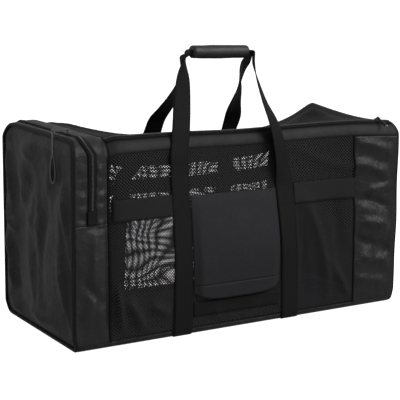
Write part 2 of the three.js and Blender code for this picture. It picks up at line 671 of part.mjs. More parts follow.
function sliderGeometry() {
  const outline = new THREE.Shape();
  // The numbers in the outlines are shares of half its width and half its length.
  const [w, l] = [sliderWidth / 2, sliderLength / 2];
  outline.moveTo(-w * 0.55, -l);
  outline.lineTo(w * 0.55, -l);
  outline.lineTo(w, -l * 0.35);
  outline.lineTo(w, l * 0.6);
  outline.lineTo(w * 0.7, l);
  outline.lineTo(-w * 0.7, l);
  outline.lineTo(-w, l * 0.6);
  outline.lineTo(-w, -l * 0.35);
  outline.closePath();
  const body = solidOf(extrude(outline, sliderHeight));
  const barTop = barHeight + pullWire / 2;
  const arch = new THREE.Shape();
  arch.moveTo(-l * 0.78, sliderHeight - archSink);
  arch.lineTo(-l * 0.78, barTop - archChamfer);
  arch.lineTo(-l * 0.62, barTop);
  arch.lineTo(l * 0.62, barTop);
  arch.lineTo(l * 0.78, barTop - archChamfer);
  arch.lineTo(l * 0.78, sliderHeight - archSink);
  arch.lineTo(l * 0.5, sliderHeight - archSink);
  arch.lineTo(l * 0.5, barTop - pullWire);
  arch.lineTo(-l * 0.5, barTop - pullWire);
  arch.lineTo(-l * 0.5, sliderHeight - archSink);
  arch.closePath();
  return geometryOf(body.add(solidOf(stand(extrude(arch, pullWire), pullWire))));
}

function tabGeometry(reach, holes) {
  const r = eyeRadius + eyeWall;
  const outline = new THREE.Shape();
  outline.absarc(0, 0, r, -Math.PI / 2, Math.PI / 2, false);
  outline.lineTo(-reach * 0.3, r * tabWaist);
  outline.lineTo(-reach * 0.7, r * tabWaist);
  outline.lineTo(-reach, r);
  outline.absarc(-reach, 0, r, Math.PI / 2, (3 * Math.PI) / 2, false);
  outline.lineTo(-reach * 0.7, -r * tabWaist);
  outline.lineTo(-reach * 0.3, -r * tabWaist);
  outline.closePath();
  for (const x of holes) {
    const hole = new THREE.Path();
    hole.absarc(x, 0, eyeRadius, 0, Math.PI * 2, true);
    outline.holes.push(hole);
  }
  const geometry = extrude(outline, tabThick);
  geometry.rotateX(Math.PI / 2);
  geometry.translate(0, tabThick / 2, 0);
  return geometry;
}

// A flat piece drawn in the plane across the bag, y to the side and z up.
function hangingPlate(shape, thickness) {
  return stand(extrude(shape, thickness), thickness);
}

function outlineOf(points) {
  const shape = new THREE.Shape();
  shape.moveTo(...points[0]);
  points.slice(1).forEach((p) => shape.lineTo(...p));
  shape.closePath();
  return shape;
}

const eyeInside = eyeRadius + eyeWall + linkInsideGap;
const linkHalf = tabThick / 2 + linkSideGap + pullWire;
const linkFoot = -eyeInside - pullWire;
function linkGeometry() {
  const bar = pullWire / 2;
  const shape = outlineOf([
    [-linkHalf, bar], [linkHalf, bar], [linkHalf, linkFoot], [linkNeckHalf, linkFoot - linkShoulder],
    [linkNeckHalf, -linkLength], [-linkNeckHalf, -linkLength],
    [-linkNeckHalf, linkFoot - linkShoulder], [-linkHalf, linkFoot],
  ]);
  const [side, low] = [linkHalf - pullWire, -eyeInside];
  const corners = [[-side, -bar], [-side, low], [side, low], [side, -bar]];
  const hole = new THREE.Path(corners.map((p) => new THREE.Vector2(...p)));
  shape.holes.push(hole);
  return hangingPlate(shape, pullWire);
}

function loopGeometry() {
  const top = -linkLength - gap;
  const foot = top - loopLength;
  const [a, b] = [loopTopWidth / 2, loopFootWidth / 2];
  const ring = (shape, inset, upper) => {
    const r = b - inset;
    shape.moveTo(-(a - inset), upper);
    shape.lineTo(-r, foot + b);
    shape.absarc(0, foot + b, r, Math.PI, Math.PI * 2, false);
    shape.lineTo(a - inset, upper);
    shape.closePath();
    return shape;
  };
  const shape = ring(new THREE.Shape(), 0, top);
  shape.holes.push(ring(new THREE.Path(), loopBar, top - loopHoleDrop));
  return hangingPlate(shape, loopThick);
}

function pull(position, turn, tilt, pieces) {
  const holder = new THREE.Group();
  holder.position.copy(position);
  holder.rotation.set(0, -tilt, turn, 'ZYX');
  for (const { name, geometry, finish, at = [0, 0, 0], droop = 0 } of pieces) {
    const mesh = new THREE.Mesh(geometry, new THREE.MeshStandardMaterial(finishes[finish]));
    mesh.name = name;
    mesh.position.set(...at);
    mesh.rotation.y = -droop;
    holder.add(mesh);
  }
  root.add(holder);
}

const atBar = [0, 0, barHeight];
const atTabEnd = [-tabReach, 0, barHeight];
const pocketPullRun = halfGirth + pocketPullY;
pull(skin(zipCentre(pocketPullRun), pocketPullRun, zipProud + 2 * gap), 0, 0, [
  { name: 'pocket_slider', geometry: sliderGeometry(), finish: 'metal' },
  { name: 'pocket_pull_tab', geometry: tabGeometry(tabReach, [0, -tabReach]), finish: 'metal', at: atBar },
  { name: 'pocket_pull_link', geometry: linkGeometry(), finish: 'metal', at: atTabEnd },
  { name: 'pocket_pull_loop', geometry: loopGeometry(), finish: 'moulded', at: atTabEnd },
]);

const radians = THREE.MathUtils.degToRad;
const mainPullRun = (frontArc(hemArcShare) + frontArc(zipArcShare)) / 2;
pull(
  skin(length / 2 - mainPullInset, mainPullRun, zipProud - mainSliderSink),
  Math.PI / 2, radians(mainSliderTilt),
  [
    { name: 'main_slider', geometry: sliderGeometry(), finish: 'metal' },
    {
      name: 'main_pull_tab', geometry: tabGeometry(tabReach, [0, -tabReach]), finish: 'metal',
      at: atBar, droop: radians(mainTabDroop),
    },
  ],
);

export default root;
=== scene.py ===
# %% [markdown]
# # A mesh dive gear bag
#
# A long, boxy net duffel for wet dive gear stands empty on a pale floor. Its front and rear are open
# net, its ends and hems are satin nylon, a zipped cloth pocket closes the left end, and four webbing
# handles meet in one padded grip above the front. The real bag is cut from flat cloth and sewn, so
# nearly every piece here is a fine grid that is laid on one shared, slumped surface.

import math

import bmesh
import bpy
from mathutils import Matrix, Vector, noise


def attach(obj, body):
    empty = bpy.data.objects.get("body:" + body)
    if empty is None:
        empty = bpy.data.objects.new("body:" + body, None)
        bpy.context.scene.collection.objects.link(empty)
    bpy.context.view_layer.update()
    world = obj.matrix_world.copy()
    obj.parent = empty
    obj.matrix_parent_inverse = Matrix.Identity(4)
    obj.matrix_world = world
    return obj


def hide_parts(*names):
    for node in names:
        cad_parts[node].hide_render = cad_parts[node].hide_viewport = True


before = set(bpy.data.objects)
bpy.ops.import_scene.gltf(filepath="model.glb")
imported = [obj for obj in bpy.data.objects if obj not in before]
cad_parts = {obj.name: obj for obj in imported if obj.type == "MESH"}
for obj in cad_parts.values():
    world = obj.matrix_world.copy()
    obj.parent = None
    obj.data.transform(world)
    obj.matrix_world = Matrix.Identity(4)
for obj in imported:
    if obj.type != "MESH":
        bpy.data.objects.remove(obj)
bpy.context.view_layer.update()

# %% [markdown]
# ## The camera
#
# The photo was taken from the front left, a little above the bag, with a long lens. Its place was
# worked out from the corners of the bag's body, so the picture can be compared with it point by point.

# %% Camera at the photo's viewpoint
camera_place = Vector((-1.159, -1.835, 0.600))
camera_yaw = math.radians(31.956)
camera_pitch = math.radians(9.83)
camera_roll = math.radians(0.689)
camera_lens = 97.06


def add_camera():
    """A camera turned right from +Y by its yaw, down by its pitch and rolled a little."""
    lens = bpy.data.cameras.new("photo_camera")
    lens.sensor_width = 36.0
    lens.lens = camera_lens
    forward = Vector((
        math.sin(camera_yaw) * math.cos(camera_pitch),
        math.cos(camera_yaw) * math.cos(camera_pitch),
        -math.sin(camera_pitch),
    ))
    level = Vector((math.cos(camera_yaw), -math.sin(camera_yaw), 0.0))
    upright = level.cross(forward)
    right = level * math.cos(camera_roll) + upright * math.sin(camera_roll)
    up = upright * math.cos(camera_roll) - level * math.sin(camera_roll)
    axes = Matrix((right, up, -forward)).transposed().to_4x4()
    camera = bpy.data.objects.new("photo_camera", lens)
    camera.matrix_world = Matrix.Translation(camera_place) @ axes
    bpy.context.scene.collection.objects.link(camera)
    bpy.context.scene.camera = camera
    print("camera at", tuple(camera_place), "with a lens of", camera_lens, "mm")


add_camera()

# %% [markdown]
# ## Sizes
#
# Everything is in metres. The webbing is taken as 40 mm wide, as on such bags, and that gave the photo
# its scale. The bag's trim box comes first, then the tapes, seams, zips and pockets. Each size has a
# name, because the pieces meet at shared lines: one number changed here moves all that depend on it.

# %% Sizes of the bag
bag_length = 0.750
bag_depth = 0.320
bag_height = 0.385
low_radius = 0.012
top_radius = 0.034
cloth_thick = 0.0015
gap = 0.0003
webbing_width = 0.040
webbing_thick = 0.002
binding_width = 0.007
binding_proud = 0.004
rear_hem_bottom = 0.308
pocket_length = 0.075
wrap_length = 0.113
seam_pinch = 0.005
end_bulge = 0.006
corner_pull = 0.007
corner_reach = 0.027
top_dip = 0.011
zip_width = 0.016
zip_proud = 0.0012
pocket_zip_front_inset = 0.040
pocket_zip_top_inset = 0.024
pocket_zip_end = 0.230
zip_tab_length = 0.026
hem_arc_share = 0.56
zip_arc_share = 0.94
band_bottom = 0.230
band_setback = 0.006

end_face = bag_length / 2 - binding_proud
seam_x = pocket_length - bag_length / 2
wrap_seam_x = bag_length / 2 - wrap_length
wall_top = bag_height - top_radius
band_top = band_bottom + webbing_width
half_webbing = webbing_width / 2
print("pocket seam at", seam_x, "wrap seam at", wrap_seam_x)

# %% [markdown]
# ## One surface for all the cloth
#
# The girth runs from the middle of the base round the front, over the top and down the rear, like
# a tape measure laid round the bag. A place on the cloth is then a distance along the bag and a run
# round the girth. `slump` moves the full, trim bag to where the empty one has sagged, and the soft
# dents go into it too. Panels, tapes and straps all use it, so they stay in touch with each other.

# %% The girth of the trim bag
half_flat = bag_depth / 2 - low_radius
low_arc = math.pi / 2 * low_radius
wall_run = bag_height - low_radius - top_radius
top_arc = math.pi / 2 * top_radius
top_flat = bag_depth / 2 - top_radius
half_girth = half_flat + low_arc + wall_run + top_arc + top_flat
girth = 2 * half_girth


def front_wall(z):
    """The run of a height on the straight front wall."""
    return half_flat + low_arc + z - low_radius


def front_arc(share):
    """The run at a share of the rounded edge between the front and the top."""
    return half_flat + low_arc + wall_run + share * top_arc


def foot_arc(share):
    """The run at a share of the rounded edge between the base and the front."""
    return half_flat + share * low_arc


def rear(run):
    """The same place on the rear as this run on the front."""
    return girth - run


def profile(run, out=0.0):
    """Depth and height of a point of the trim girth, moved out of the cloth by a distance."""
    wrapped = run % girth
    is_front = wrapped <= half_girth
    s = wrapped if is_front else girth - wrapped
    if s <= half_flat:
        y, z, normal = s, 0.0, (0.0, -1.0)
    elif s <= half_flat + low_arc:
        turn = (s - half_flat) / low_radius
        normal = (math.sin(turn), -math.cos(turn))
        y, z = half_flat + low_radius * normal[0], low_radius * (1 + normal[1])
    elif s <= half_flat + low_arc + wall_run:
        y, z, normal = bag_depth / 2, low_radius + s - half_flat - low_arc, (1.0, 0.0)
    elif s <= half_flat + low_arc + wall_run + top_arc:
        turn = (s - half_flat - low_arc - wall_run) / top_radius
        normal = (math.cos(turn), math.sin(turn))
        y, z = top_flat + top_radius * normal[0], wall_top + top_radius * normal[1]
    else:
        y, z, normal = half_girth - s, bag_height, (0.0, 1.0)
    sign = -1.0 if is_front else 1.0
    return sign * (y + normal[0] * out), z + normal[1] * out


print("girth", round(girth, 4))

# %% Slump and dents
slump_rows = [
    dict(at=-1.0, front_in=0.0, rear_in=0.0, front_drop=0.008, rear_drop=-0.005),
    dict(at=-0.8, front_in=0.03, rear_in=0.02, front_drop=0.0, rear_drop=-0.014),
    dict(at=-0.4, front_in=0.14, rear_in=0.16, front_drop=-0.002, rear_drop=0.074),
    dict(at=0.0, front_in=0.21, rear_in=0.23, front_drop=0.004, rear_drop=0.094),
    dict(at=0.5, front_in=0.16, rear_in=0.18, front_drop=-0.01, rear_drop=0.08),
    dict(at=0.76, front_in=0.06, rear_in=0.07, front_drop=-0.016, rear_drop=0.036),
    dict(at=1.0, front_in=0.02, rear_in=0.02, front_drop=-0.006, rear_drop=-0.055),
]
dent_rows = [
    dict(side=-1, along=-0.86, up=0.62, wide=0.07, tall=0.12, out=-0.022),
    dict(side=-1, along=-0.6, up=0.3, wide=0.16, tall=0.22, out=0.016),
    dict(side=-1, along=-0.06, up=0.74, wide=0.24, tall=0.14, out=-0.026),
    dict(side=-1, along=0.52, up=0.5, wide=0.16, tall=0.3, out=-0.024),
    dict(side=-1, along=0.86, up=0.84, wide=0.12, tall=0.07, out=0.022),
    dict(side=-1, along=0.86, up=0.66, wide=0.12, tall=0.08, out=-0.024),
    dict(side=-1, along=0.88, up=0.46, wide=0.12, tall=0.08, out=0.02),
    dict(side=-1, along=0.86, up=0.28, wide=0.12, tall=0.08, out=-0.022),
    dict(side=1, along=-0.45, up=0.45, wide=0.25, tall=0.28, out=-0.024),
    dict(side=1, along=0.2, up=0.6, wide=0.25, tall=0.25, out=0.016),
    dict(side=1, along=0.78, up=0.5, wide=0.18, tall=0.3, out=-0.02),
]


def smooth(value, low, high):
    """0 below low, 1 above high, and an S-curve between them."""
    t = min(1.0, max(0.0, (value - low) / (high - low)))
    return t * t * (3 - 2 * t)


def bell(t):
    return math.exp(-t * t)


def lerp(a, b, t):
    return a + (b - a) * t


def slump_at(at):
    """The four slump values at a share of the half length, on a smooth curve through the rows."""
    last = len(slump_rows) - 1
    place = min(1.0, max(-1.0, at))
    i = 0
    while i < last - 1 and slump_rows[i + 1]["at"] < place:
        i += 1
    a, b = slump_rows[i], slump_rows[i + 1]
    before, after = slump_rows[max(i - 1, 0)], slump_rows[min(i + 2, last)]
    span = b["at"] - a["at"]
    t = (place - a["at"]) / span
    values = []
    for key in ("front_in", "rear_in", "front_drop", "rear_drop"):
        slope_a = (b[key] - before[key]) / (b["at"] - before["at"]) * span
        slope_b = (after[key] - a[key]) / (after["at"] - a["at"]) * span
        rise = t * t * (3 - 2 * t)
        curve = slope_a * t * (1 - t) ** 2 - slope_b * t * t * (1 - t)
        values.append(a[key] + (b[key] - a[key]) * rise + curve)
    return values


def slump(x, y, z):
    """Moves a point of the trim bag to where the cloth of the slumped bag has it."""
    at = x / (bag_length / 2)
    side = -1 if y < 0 else 1
    outward = abs(y) / (bag_depth / 2)
    front_in, rear_in, front_drop, rear_drop = slump_at(at)
    rise = smooth(z, bag_height * 0.3, bag_height)
    rearness = smooth(y, -bag_depth / 2, bag_depth / 2)
    dip = top_dip * max(0.0, 1 - outward ** 2) * smooth(x, seam_x - 0.020, seam_x + 0.060)
    drop = bag_height * lerp(front_drop, rear_drop, rearness) + dip
    lean = front_in if side < 0 else rear_in
    pinch = seam_pinch * bell((x - seam_x) / 0.013)
    new_y = y * (1 - lean * rise)
    new_y -= side * pinch * smooth(outward, 0.6, 1) * smooth(z, 0, bag_height * 0.15)
    if outward > 0.55:
        at_wall = bag_depth / 2 * smooth(outward, 0.55, 0.9) * smooth(z, low_radius, low_radius + 0.040)
        for row in dent_rows:
            if row["side"] == side:
                along = bell((at - row["along"]) / row["wide"])
                upward = bell((z / bag_height - row["up"]) / row["tall"])
                new_y += side * row["out"] * at_wall * along * upward
    new_z = z - drop * rise ** 1.5 - pinch * smooth(z, bag_height * 0.75, bag_height)
    middle = max(0.0, 1 - outward ** 2) * max(0.0, 1 - (2 * z / bag_height - 1) ** 2)
    corner = max(0.0, 1 - min(z, bag_height - z) / corner_reach)
    new_x = x + math.copysign(1, x) * (end_bulge * middle - corner_pull * corner) * smooth(abs(at), 0.84, 1)
    return Vector((new_x, new_y, new_z))


# %% [markdown]
# ## Folds
#
# Cloth that is pulled at one place and loose at another lies in folds. Each fold is a ridge along a
# line on a panel: it starts and ends softly, and its height falls away on both sides like a bell.
# A short table for each panel says where its folds run.

# %% Folds on a panel
def fold_height(rows, u, v):
    """Height of a table of folds at a place (u, v). Each row: from, to, width and height."""
    total = 0.0
    for row in rows:
        (u0, v0), (u1, v1) = row["start"], row["end"]
        along_u, along_v = u1 - u0, v1 - v0
        length = math.hypot(along_u, along_v)
        t = ((u - u0) * along_u + (v - v0) * along_v) / length ** 2
        if -0.5 < t < 1.5:
            off = ((u - u0) * along_v - (v - v0) * along_u) / length + row.get("bow", 0.0) * 4 * t * (1 - t)
            if abs(off) < 3 * row["width"]:
                ends = smooth(t, -0.25, 0.25) * (1 - smooth(t, 0.75, 1.25))
                total += row["height"] * ends * bell(off / row["width"])
    return total


front_folds = [
    dict(start=(0.150, 0.222), end=(0.195, 0.040), width=0.013, height=0.010, bow=0.008),
    dict(start=(0.128, 0.200), end=(0.140, 0.050), width=0.012, height=-0.006),
    dict(start=(0.215, 0.220), end=(0.232, 0.120), width=0.014, height=-0.005),
    dict(start=(0.200, 0.110), end=(0.250, 0.030), width=0.010, height=0.008),
    dict(start=(0.130, 0.335), end=(0.255, 0.290), width=0.010, height=0.003, bow=-0.004),
    dict(start=(-0.288, 0.110), end=(-0.276, 0.030), width=0.009, height=0.009),
    dict(start=(-0.262, 0.085), end=(-0.232, 0.025), width=0.010, height=0.011),
    dict(start=(-0.215, 0.070), end=(-0.180, 0.050), width=0.010, height=0.008),
    dict(start=(-0.080, 0.045), end=(-0.060, 0.014), width=0.009, height=0.003),
    dict(start=(0.020, 0.045), end=(0.005, 0.014), width=0.009, height=0.003),
]
wrap_folds = [
    dict(start=(0.272, 0.342), end=(0.352, 0.322), width=0.012, height=0.004),
    dict(start=(0.266, 0.296), end=(0.350, 0.270), width=0.011, height=0.006, bow=0.004),
    dict(start=(0.300, 0.240), end=(0.358, 0.252), width=0.010, height=0.005),
    dict(start=(0.268, 0.228), end=(0.345, 0.206), width=0.010, height=-0.005, bow=0.004),
    dict(start=(0.285, 0.180), end=(0.356, 0.166), width=0.011, height=0.006),
    dict(start=(0.268, 0.148), end=(0.340, 0.126), width=0.010, height=-0.005, bow=-0.004),
    dict(start=(0.285, 0.104), end=(0.354, 0.094), width=0.011, height=0.006),
    dict(start=(0.270, 0.062), end=(0.345, 0.048), width=0.010, height=0.004),
]
gusset_folds = [
    dict(start=(-0.352, 0.130), end=(-0.318, 0.085), width=0.009, height=-0.006),
    dict(start=(-0.356, 0.060), end=(-0.322, 0.110), width=0.010, height=0.005),
    dict(start=(-0.330, 0.210), end=(-0.340, 0.120), width=0.008, height=0.004),
]
rear_folds = [
    dict(start=(-0.250, 0.200), end=(-0.150, 0.080), width=0.012, height=0.004),
    dict(start=(0.040, 0.210), end=(0.090, 0.060), width=0.014, height=0.004),
    dict(start=(0.280, 0.250), end=(0.350, 0.230), width=0.009, height=0.005),
    dict(start=(0.280, 0.150), end=(0.350, 0.140), width=0.009, height=0.004),
]
lid_folds = [
    dict(start=(0.355, 0.125), end=(0.180, 0.020), width=0.016, height=0.008),
    dict(start=(0.355, 0.110), end=(0.300, -0.060), width=0.014, height=0.006),
    dict(start=(0.240, 0.110), end=(0.080, 0.060), width=0.018, height=0.006),
    dict(start=(-0.285, 0.110), end=(-0.150, 0.030), width=0.014, height=0.007),
    dict(start=(-0.285, 0.030), end=(-0.200, -0.060), width=0.012, height=0.004),
    dict(start=(0.060, -0.060), end=(-0.090, 0.060), width=0.018, height=0.005),
]

# %% [markdown]
# ## Swell and wrinkles
#
# Between its folds, coated nylon shows soft wrinkles in no order, and loose cloth swells out between
# its seams. A bump map would shade wrinkles but leave the outline and the seams straight, so here the
# points themselves are moved, by a smooth noise. Seams, zips and the floor hold the cloth, so the
# relief fades out towards them, and beside the zip it is gathered in small, even puckers.

# %% Swell and wrinkles
net_swell = 0.0022
gusset_swell = 0.005
wrap_fold_share = 1.3
pucker_length = 0.0125
pucker_height = 0.0010
zip_strip_wrinkles = dict(seed=2.0, size=0.022, height=0.0030)
gusset_wrinkles = dict(seed=6.0, size=0.038, height=0.0050)
wrap_wrinkles = dict(seed=1.0, size=0.034, height=0.0034)


def drift(spot):
    """A smooth random vector, from three places of one noise so that it is the same in every run."""
    return Vector((noise.noise(spot), noise.noise(spot + Vector((19.1, 3.3, 7.9))),
                   noise.noise(spot + Vector((5.7, 31.4, 11.2)))))


def crumple(u, v, seed, size, height):
    """Soft random wrinkles: rounded crests where a noise passes through zero, bent by a slower one."""
    bent = Vector((u / size, v / size, seed))
    bent += 0.9 * drift(bent * 0.5 + Vector((3.1, 7.7, seed)))
    broad = noise.noise(bent * 0.8 + Vector((9.0, 4.0, 0.0)))
    crest = 1 - 2.2 * math.sqrt(noise.noise(bent) ** 2 + 0.03)
    return height * (1.1 * broad + 0.2 * crest)


def zip_centre(run):
    """How far along the bag the pocket's zip runs: nearer the end on the top than on the front."""
    y, up = profile(run)
    share = smooth(up, wall_top, bag_height)
    return lerp(pocket_zip_front_inset, pocket_zip_top_inset, share) - bag_length / 2


def relief(x, run):
    """How far the cloth swells beyond the shared surface, nothing at seams, zips and the floor."""
    y, z = profile(run)
    if z > bag_height - 0.0001 and x > seam_x:
        edge = min(x - seam_x, end_face - x, y + top_flat, top_flat - y)
        return smooth(edge, 0.004, 0.035) * fold_height(lid_folds, x, y)
    free = smooth(z, 0.012, 0.045) * (1 - smooth(z, wall_top - 0.020, wall_top + 0.004))
    if abs(y) < bag_depth / 2 - 0.001:
        return 0.0
    if x < seam_x:
        free *= smooth(seam_x - x, 0.002, 0.012) * smooth(x + end_face, 0.003, 0.014)
        if z > pocket_zip_end - 0.004:
            free *= smooth(abs(x - zip_centre(run)), zip_width / 2 + 0.001, zip_width / 2 + 0.008)
            puckers = pucker_height * math.sin(z / pucker_length * math.pi)
            return free * (puckers + crumple(x, z, **zip_strip_wrinkles))
        free *= smooth(pocket_zip_end - z, 0.004, 0.020)
        swell = gusset_swell * math.sin(math.pi * (x + end_face) / (seam_x + end_face))
        return free * (swell + crumple(x, z * 0.6, **gusset_wrinkles) + fold_height(gusset_folds, x, z))
    free *= smooth(x, seam_x + 0.002, seam_x + 0.022) * (1 - smooth(x, end_face - 0.022, end_face - 0.002))
    if free <= 0:
        return 0.0
    swell = net_swell * noise.noise(Vector((x * 9, z * 9, 3.0 * math.copysign(1, y))))
    if y < 0:
        folds = fold_height(front_folds, x, z) + wrap_fold_share * fold_height(wrap_folds, x, z)
        if x > wrap_seam_x:
            folds += smooth(x - wrap_seam_x, 0.0, 0.014) * crumple(x * 0.6, z, **wrap_wrinkles)
    else:
        folds = fold_height(rear_folds, x, z)
    return free * (swell + folds)


def skin(x, run, out=0.0):
    """A point on the slumped cloth, with its folds, moved out by a distance."""
    y, z = profile(run, out + relief(x, run))
    return slump(x, y, z)


# %% [markdown]
# ## Finishes
#
# All the cloth is near black, so the bag reads by its sheen: satin nylon with soft highlights, a dull
# ribbed webbing, a finer tape on the rims. A picture of cloth would show its edges and its repeat up
# close, so each weave is worked out by nodes from waves and noise. Shader maths is written as plain
# Python: `Wire` wraps a socket and turns + and * into Math nodes, and `Finish.make` adds any other.

# %% Node helpers
class Wire:
    """An output socket that works in Python expressions."""

    def __init__(self, finish, socket):
        self.finish = finish
        self.socket = socket

    def math(self, operation, *values):
        return self.finish.make("ShaderNodeMath", {"operation": operation}, *values)

    def __add__(self, other):
        return self.math("ADD", self, other)

    def __mul__(self, other):
        return self.math("MULTIPLY", self, other)

    def wave(self, pitch):
        """A smooth ripple from 0 to 1 with this pitch in metres."""
        return self.math("SINE", self * (2 * math.pi / pitch)) * 0.5 + 0.5


class Finish:
    """One material, its shader and the method that makes its nodes."""

    def __init__(self, name, colour, roughness, metallic=0.0, sheen=0.0, gloss=0.5):
        self.material = bpy.data.materials.new(name)
        self.material.use_nodes = True
        self.tree = self.material.node_tree
        self.shader = self.tree.nodes["Principled BSDF"]
        self.shader.inputs["Base Color"].default_value = (*colour, 1.0)
        self.shader.inputs["Roughness"].default_value = roughness
        self.shader.inputs["Metallic"].default_value = metallic
        self.shader.inputs["Sheen Weight"].default_value = sheen
        self.shader.inputs["Specular IOR Level"].default_value = gloss
        self.shader.inputs["Sheen Roughness"].default_value = 0.4
        self.material.diffuse_color = (*colour, 1.0)

    def make(self, kind, settings=None, *values, output=0, **named):
        """Adds a node: first its settings, then its inputs in order or by name."""
        node = self.tree.nodes.new(kind)
        for key, value in (settings or {}).items():
            setattr(node, key, value)
        for key, value in list(enumerate(values)) + [(k.replace("_", " "), v) for k, v in named.items()]:
            if isinstance(value, Wire):
                self.tree.links.new(value.socket, node.inputs[key])
            else:
                node.inputs[key].default_value = value
        return Wire(self, node.outputs[output])

    def feed(self, name, wire):
        self.tree.links.new(wire.socket, self.shader.inputs[name])

    def cloth_place(self):
        """Distances across and along the cloth, in metres, from the piece's UV map."""
        uv = self.make("ShaderNodeTexCoord", output="UV")
        return (self.make("ShaderNodeSeparateXYZ", None, uv, output=0),
                self.make("ShaderNodeSeparateXYZ", None, uv, output=1), uv)

    def noise(self, place, scale, detail=2.0, roughness=0.5):
        return self.make("ShaderNodeTexNoise", None, Vector=place, Scale=scale, Detail=detail,
                         Roughness=roughness)

    def bump(self, height, distance, strength=1.0, below=None):
        named = dict(Height=height, Distance=distance, Strength=strength)
        if below is not None:
            named["Normal"] = below
        return self.make("ShaderNodeBump", None, **named)

    def tint(self, factor, dark, light):
        """A colour between two, by a factor from 0 to 1."""
        mix = self.make("ShaderNodeMix", {"data_type": "RGBA"}, output=2)
        node = mix.socket.node
        self.tree.links.new(factor.socket, node.inputs[0])
        node.inputs[6].default_value = (*dark, 1.0)
        node.inputs[7].default_value = (*light, 1.0)
        return mix


# %% Satin nylon, net, webbing and tape
def make_cloth(name, colour, roughness, crinkle, pitch=0.0009, gloss=0.5):
    """Coated nylon: a fine plain weave under a soft satin sheen, slightly crinkled all over."""
    finish = Finish(name, colour, roughness, sheen=0.02, gloss=gloss)
    across, along, place = finish.cloth_place()
    weave = across.wave(pitch) * along.wave(pitch)
    soft = finish.noise(place, 38.0, 3.0, 0.55)
    fine = finish.noise(place, 160.0, 2.0)
    crumple = finish.bump(soft, crinkle)
    finish.feed("Normal", finish.bump(weave, 0.00012, 0.5, crumple))
    finish.feed("Base Color", finish.tint(fine, [c * 0.8 for c in colour], [c * 1.25 for c in colour]))
    finish.feed("Roughness", soft * 0.16 + (roughness - 0.08))
    return finish


def make_webbing(name, colour, rib, roughness=0.62):
    """Woven tape: ribs across it, and twill rows that lean one way and then the other."""
    finish = Finish(name, colour, roughness, sheen=0.02, gloss=0.15)
    across, along, place = finish.cloth_place()
    ribs = (along + across * 0.35).wave(rib)
    rows = across.wave(rib * 1.5)
    weave = ribs * (rows * 0.6 + 0.4)
    fuzz = finish.noise(place, 300.0, 2.0)
    finish.feed("Normal", finish.bump(weave, 0.0005, 0.8, finish.bump(fuzz, 0.0003, 0.6)))
    # The colour follows the weave's height: darker in the grooves as painted shade, lighter on the ribs as
    # painted highlight.
    finish.feed("Base Color", finish.tint(weave, [c * 0.6 for c in colour], [c * 1.3 for c in colour]))
    finish.feed("Roughness", fuzz * 0.2 + (roughness - 0.1))
    return finish


nylon = make_cloth("satin_nylon", (0.0078, 0.0073, 0.0076), 0.44, 0.0044, gloss=0.33)
gusset_nylon = make_cloth("gusset_nylon", (0.0120, 0.0120, 0.0132), 0.45, 0.0038, gloss=0.38)
lid_nylon = make_cloth("lid_nylon", (0.0095, 0.0095, 0.0100), 0.60, 0.0024, gloss=0.12)
# The band's webbing is coloured over twice as light as the handles', as painted light.
band_tape_painted_light = make_webbing("band_webbing_painted_light", (0.0170, 0.0170, 0.0172), 0.0022)
hem_nylon = make_cloth("hem_nylon", (0.010, 0.010, 0.0107), 0.55, 0.0016, gloss=0.25)
packcloth = make_cloth("packcloth", (0.0178, 0.0178, 0.0200), 0.66, 0.0008, 0.0012, gloss=0.2)
net_yarn = make_cloth("net_yarn", (0.0230, 0.0230, 0.0250), 0.55, 0.0002, 0.0006, gloss=0.2)
webbing = make_webbing("ribbed_webbing", (0.0070, 0.0070, 0.0068), 0.0022)
tape = make_webbing("binding_tape", (0.0125, 0.0125, 0.0130), 0.0013, 0.55)
zip_tape = make_webbing("zip_tape", (0.007, 0.007, 0.008), 0.0012, 0.6)
# The seam tape is near black as painted shade: it darkens the line of each seam's groove.
seam_shade_tape = make_webbing("seam_shade_tape", (0.0040, 0.0040, 0.0042), 0.0012, 0.7)
print(len(bpy.data.materials), "materials so far")


# %% [markdown]
# ## Making a cloth piece
#
# A grid operator makes the flat cut, each vertex is then laid on the bag, and a Solidify modifier
# gives the cloth its thickness inwards. The UV map keeps each point's distance across and along the
# cut in metres, so that the weave follows the cloth wherever it goes.

# %% Grid pieces
def finish_piece(mesh_maker, name, finish, nodes, body="bag"):
    """Turns a bmesh into an object that rides on a body and stands for CAD nodes."""
    mesh = bpy.data.meshes.new(name)
    mesh_maker.to_mesh(mesh)
    mesh_maker.free()
    mesh.shade_smooth()
    piece = bpy.data.objects.new(name, mesh)
    bpy.context.scene.collection.objects.link(piece)
    mesh.materials.append(finish.material)
    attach(piece, body)
    if nodes:
        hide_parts(*nodes)
    print(name, len(mesh.polygons), "faces")
    return piece


def lay_grid(name, columns, rows, lay, finish, slot, nodes, thickness=cloth_thick, body="bag", merge=False):
    """A grid whose vertices are laid by `lay(u, v)`, which gives a point and its place on the cloth."""
    cut = bmesh.new()
    bmesh.ops.create_grid(cut, x_segments=columns, y_segments=rows, size=0.5)
    places = cut.loops.layers.uv.new("cloth")
    spots = {}
    for vertex in cut.verts:
        vertex.co, spots[vertex] = lay(vertex.co.x + 0.5, vertex.co.y + 0.5)
    for face in cut.faces:
        for loop in face.loops:
            loop[places].uv = spots[loop.vert]
    if merge:
        bmesh.ops.remove_doubles(cut, verts=cut.verts, dist=1e-5)
        bmesh.ops.recalc_face_normals(cut, faces=cut.faces)
    piece = finish_piece(cut, name, finish, nodes, body)
    if thickness:
        wall = piece.modifiers.new("cloth_thickness", "SOLIDIFY")
        wall.thickness = thickness
        wall.offset = -1.0
    return piece


def at_run(edge, run):
    """A panel's edge is a number, or a function of the run where it curves."""
    return edge(run) if callable(edge) else edge


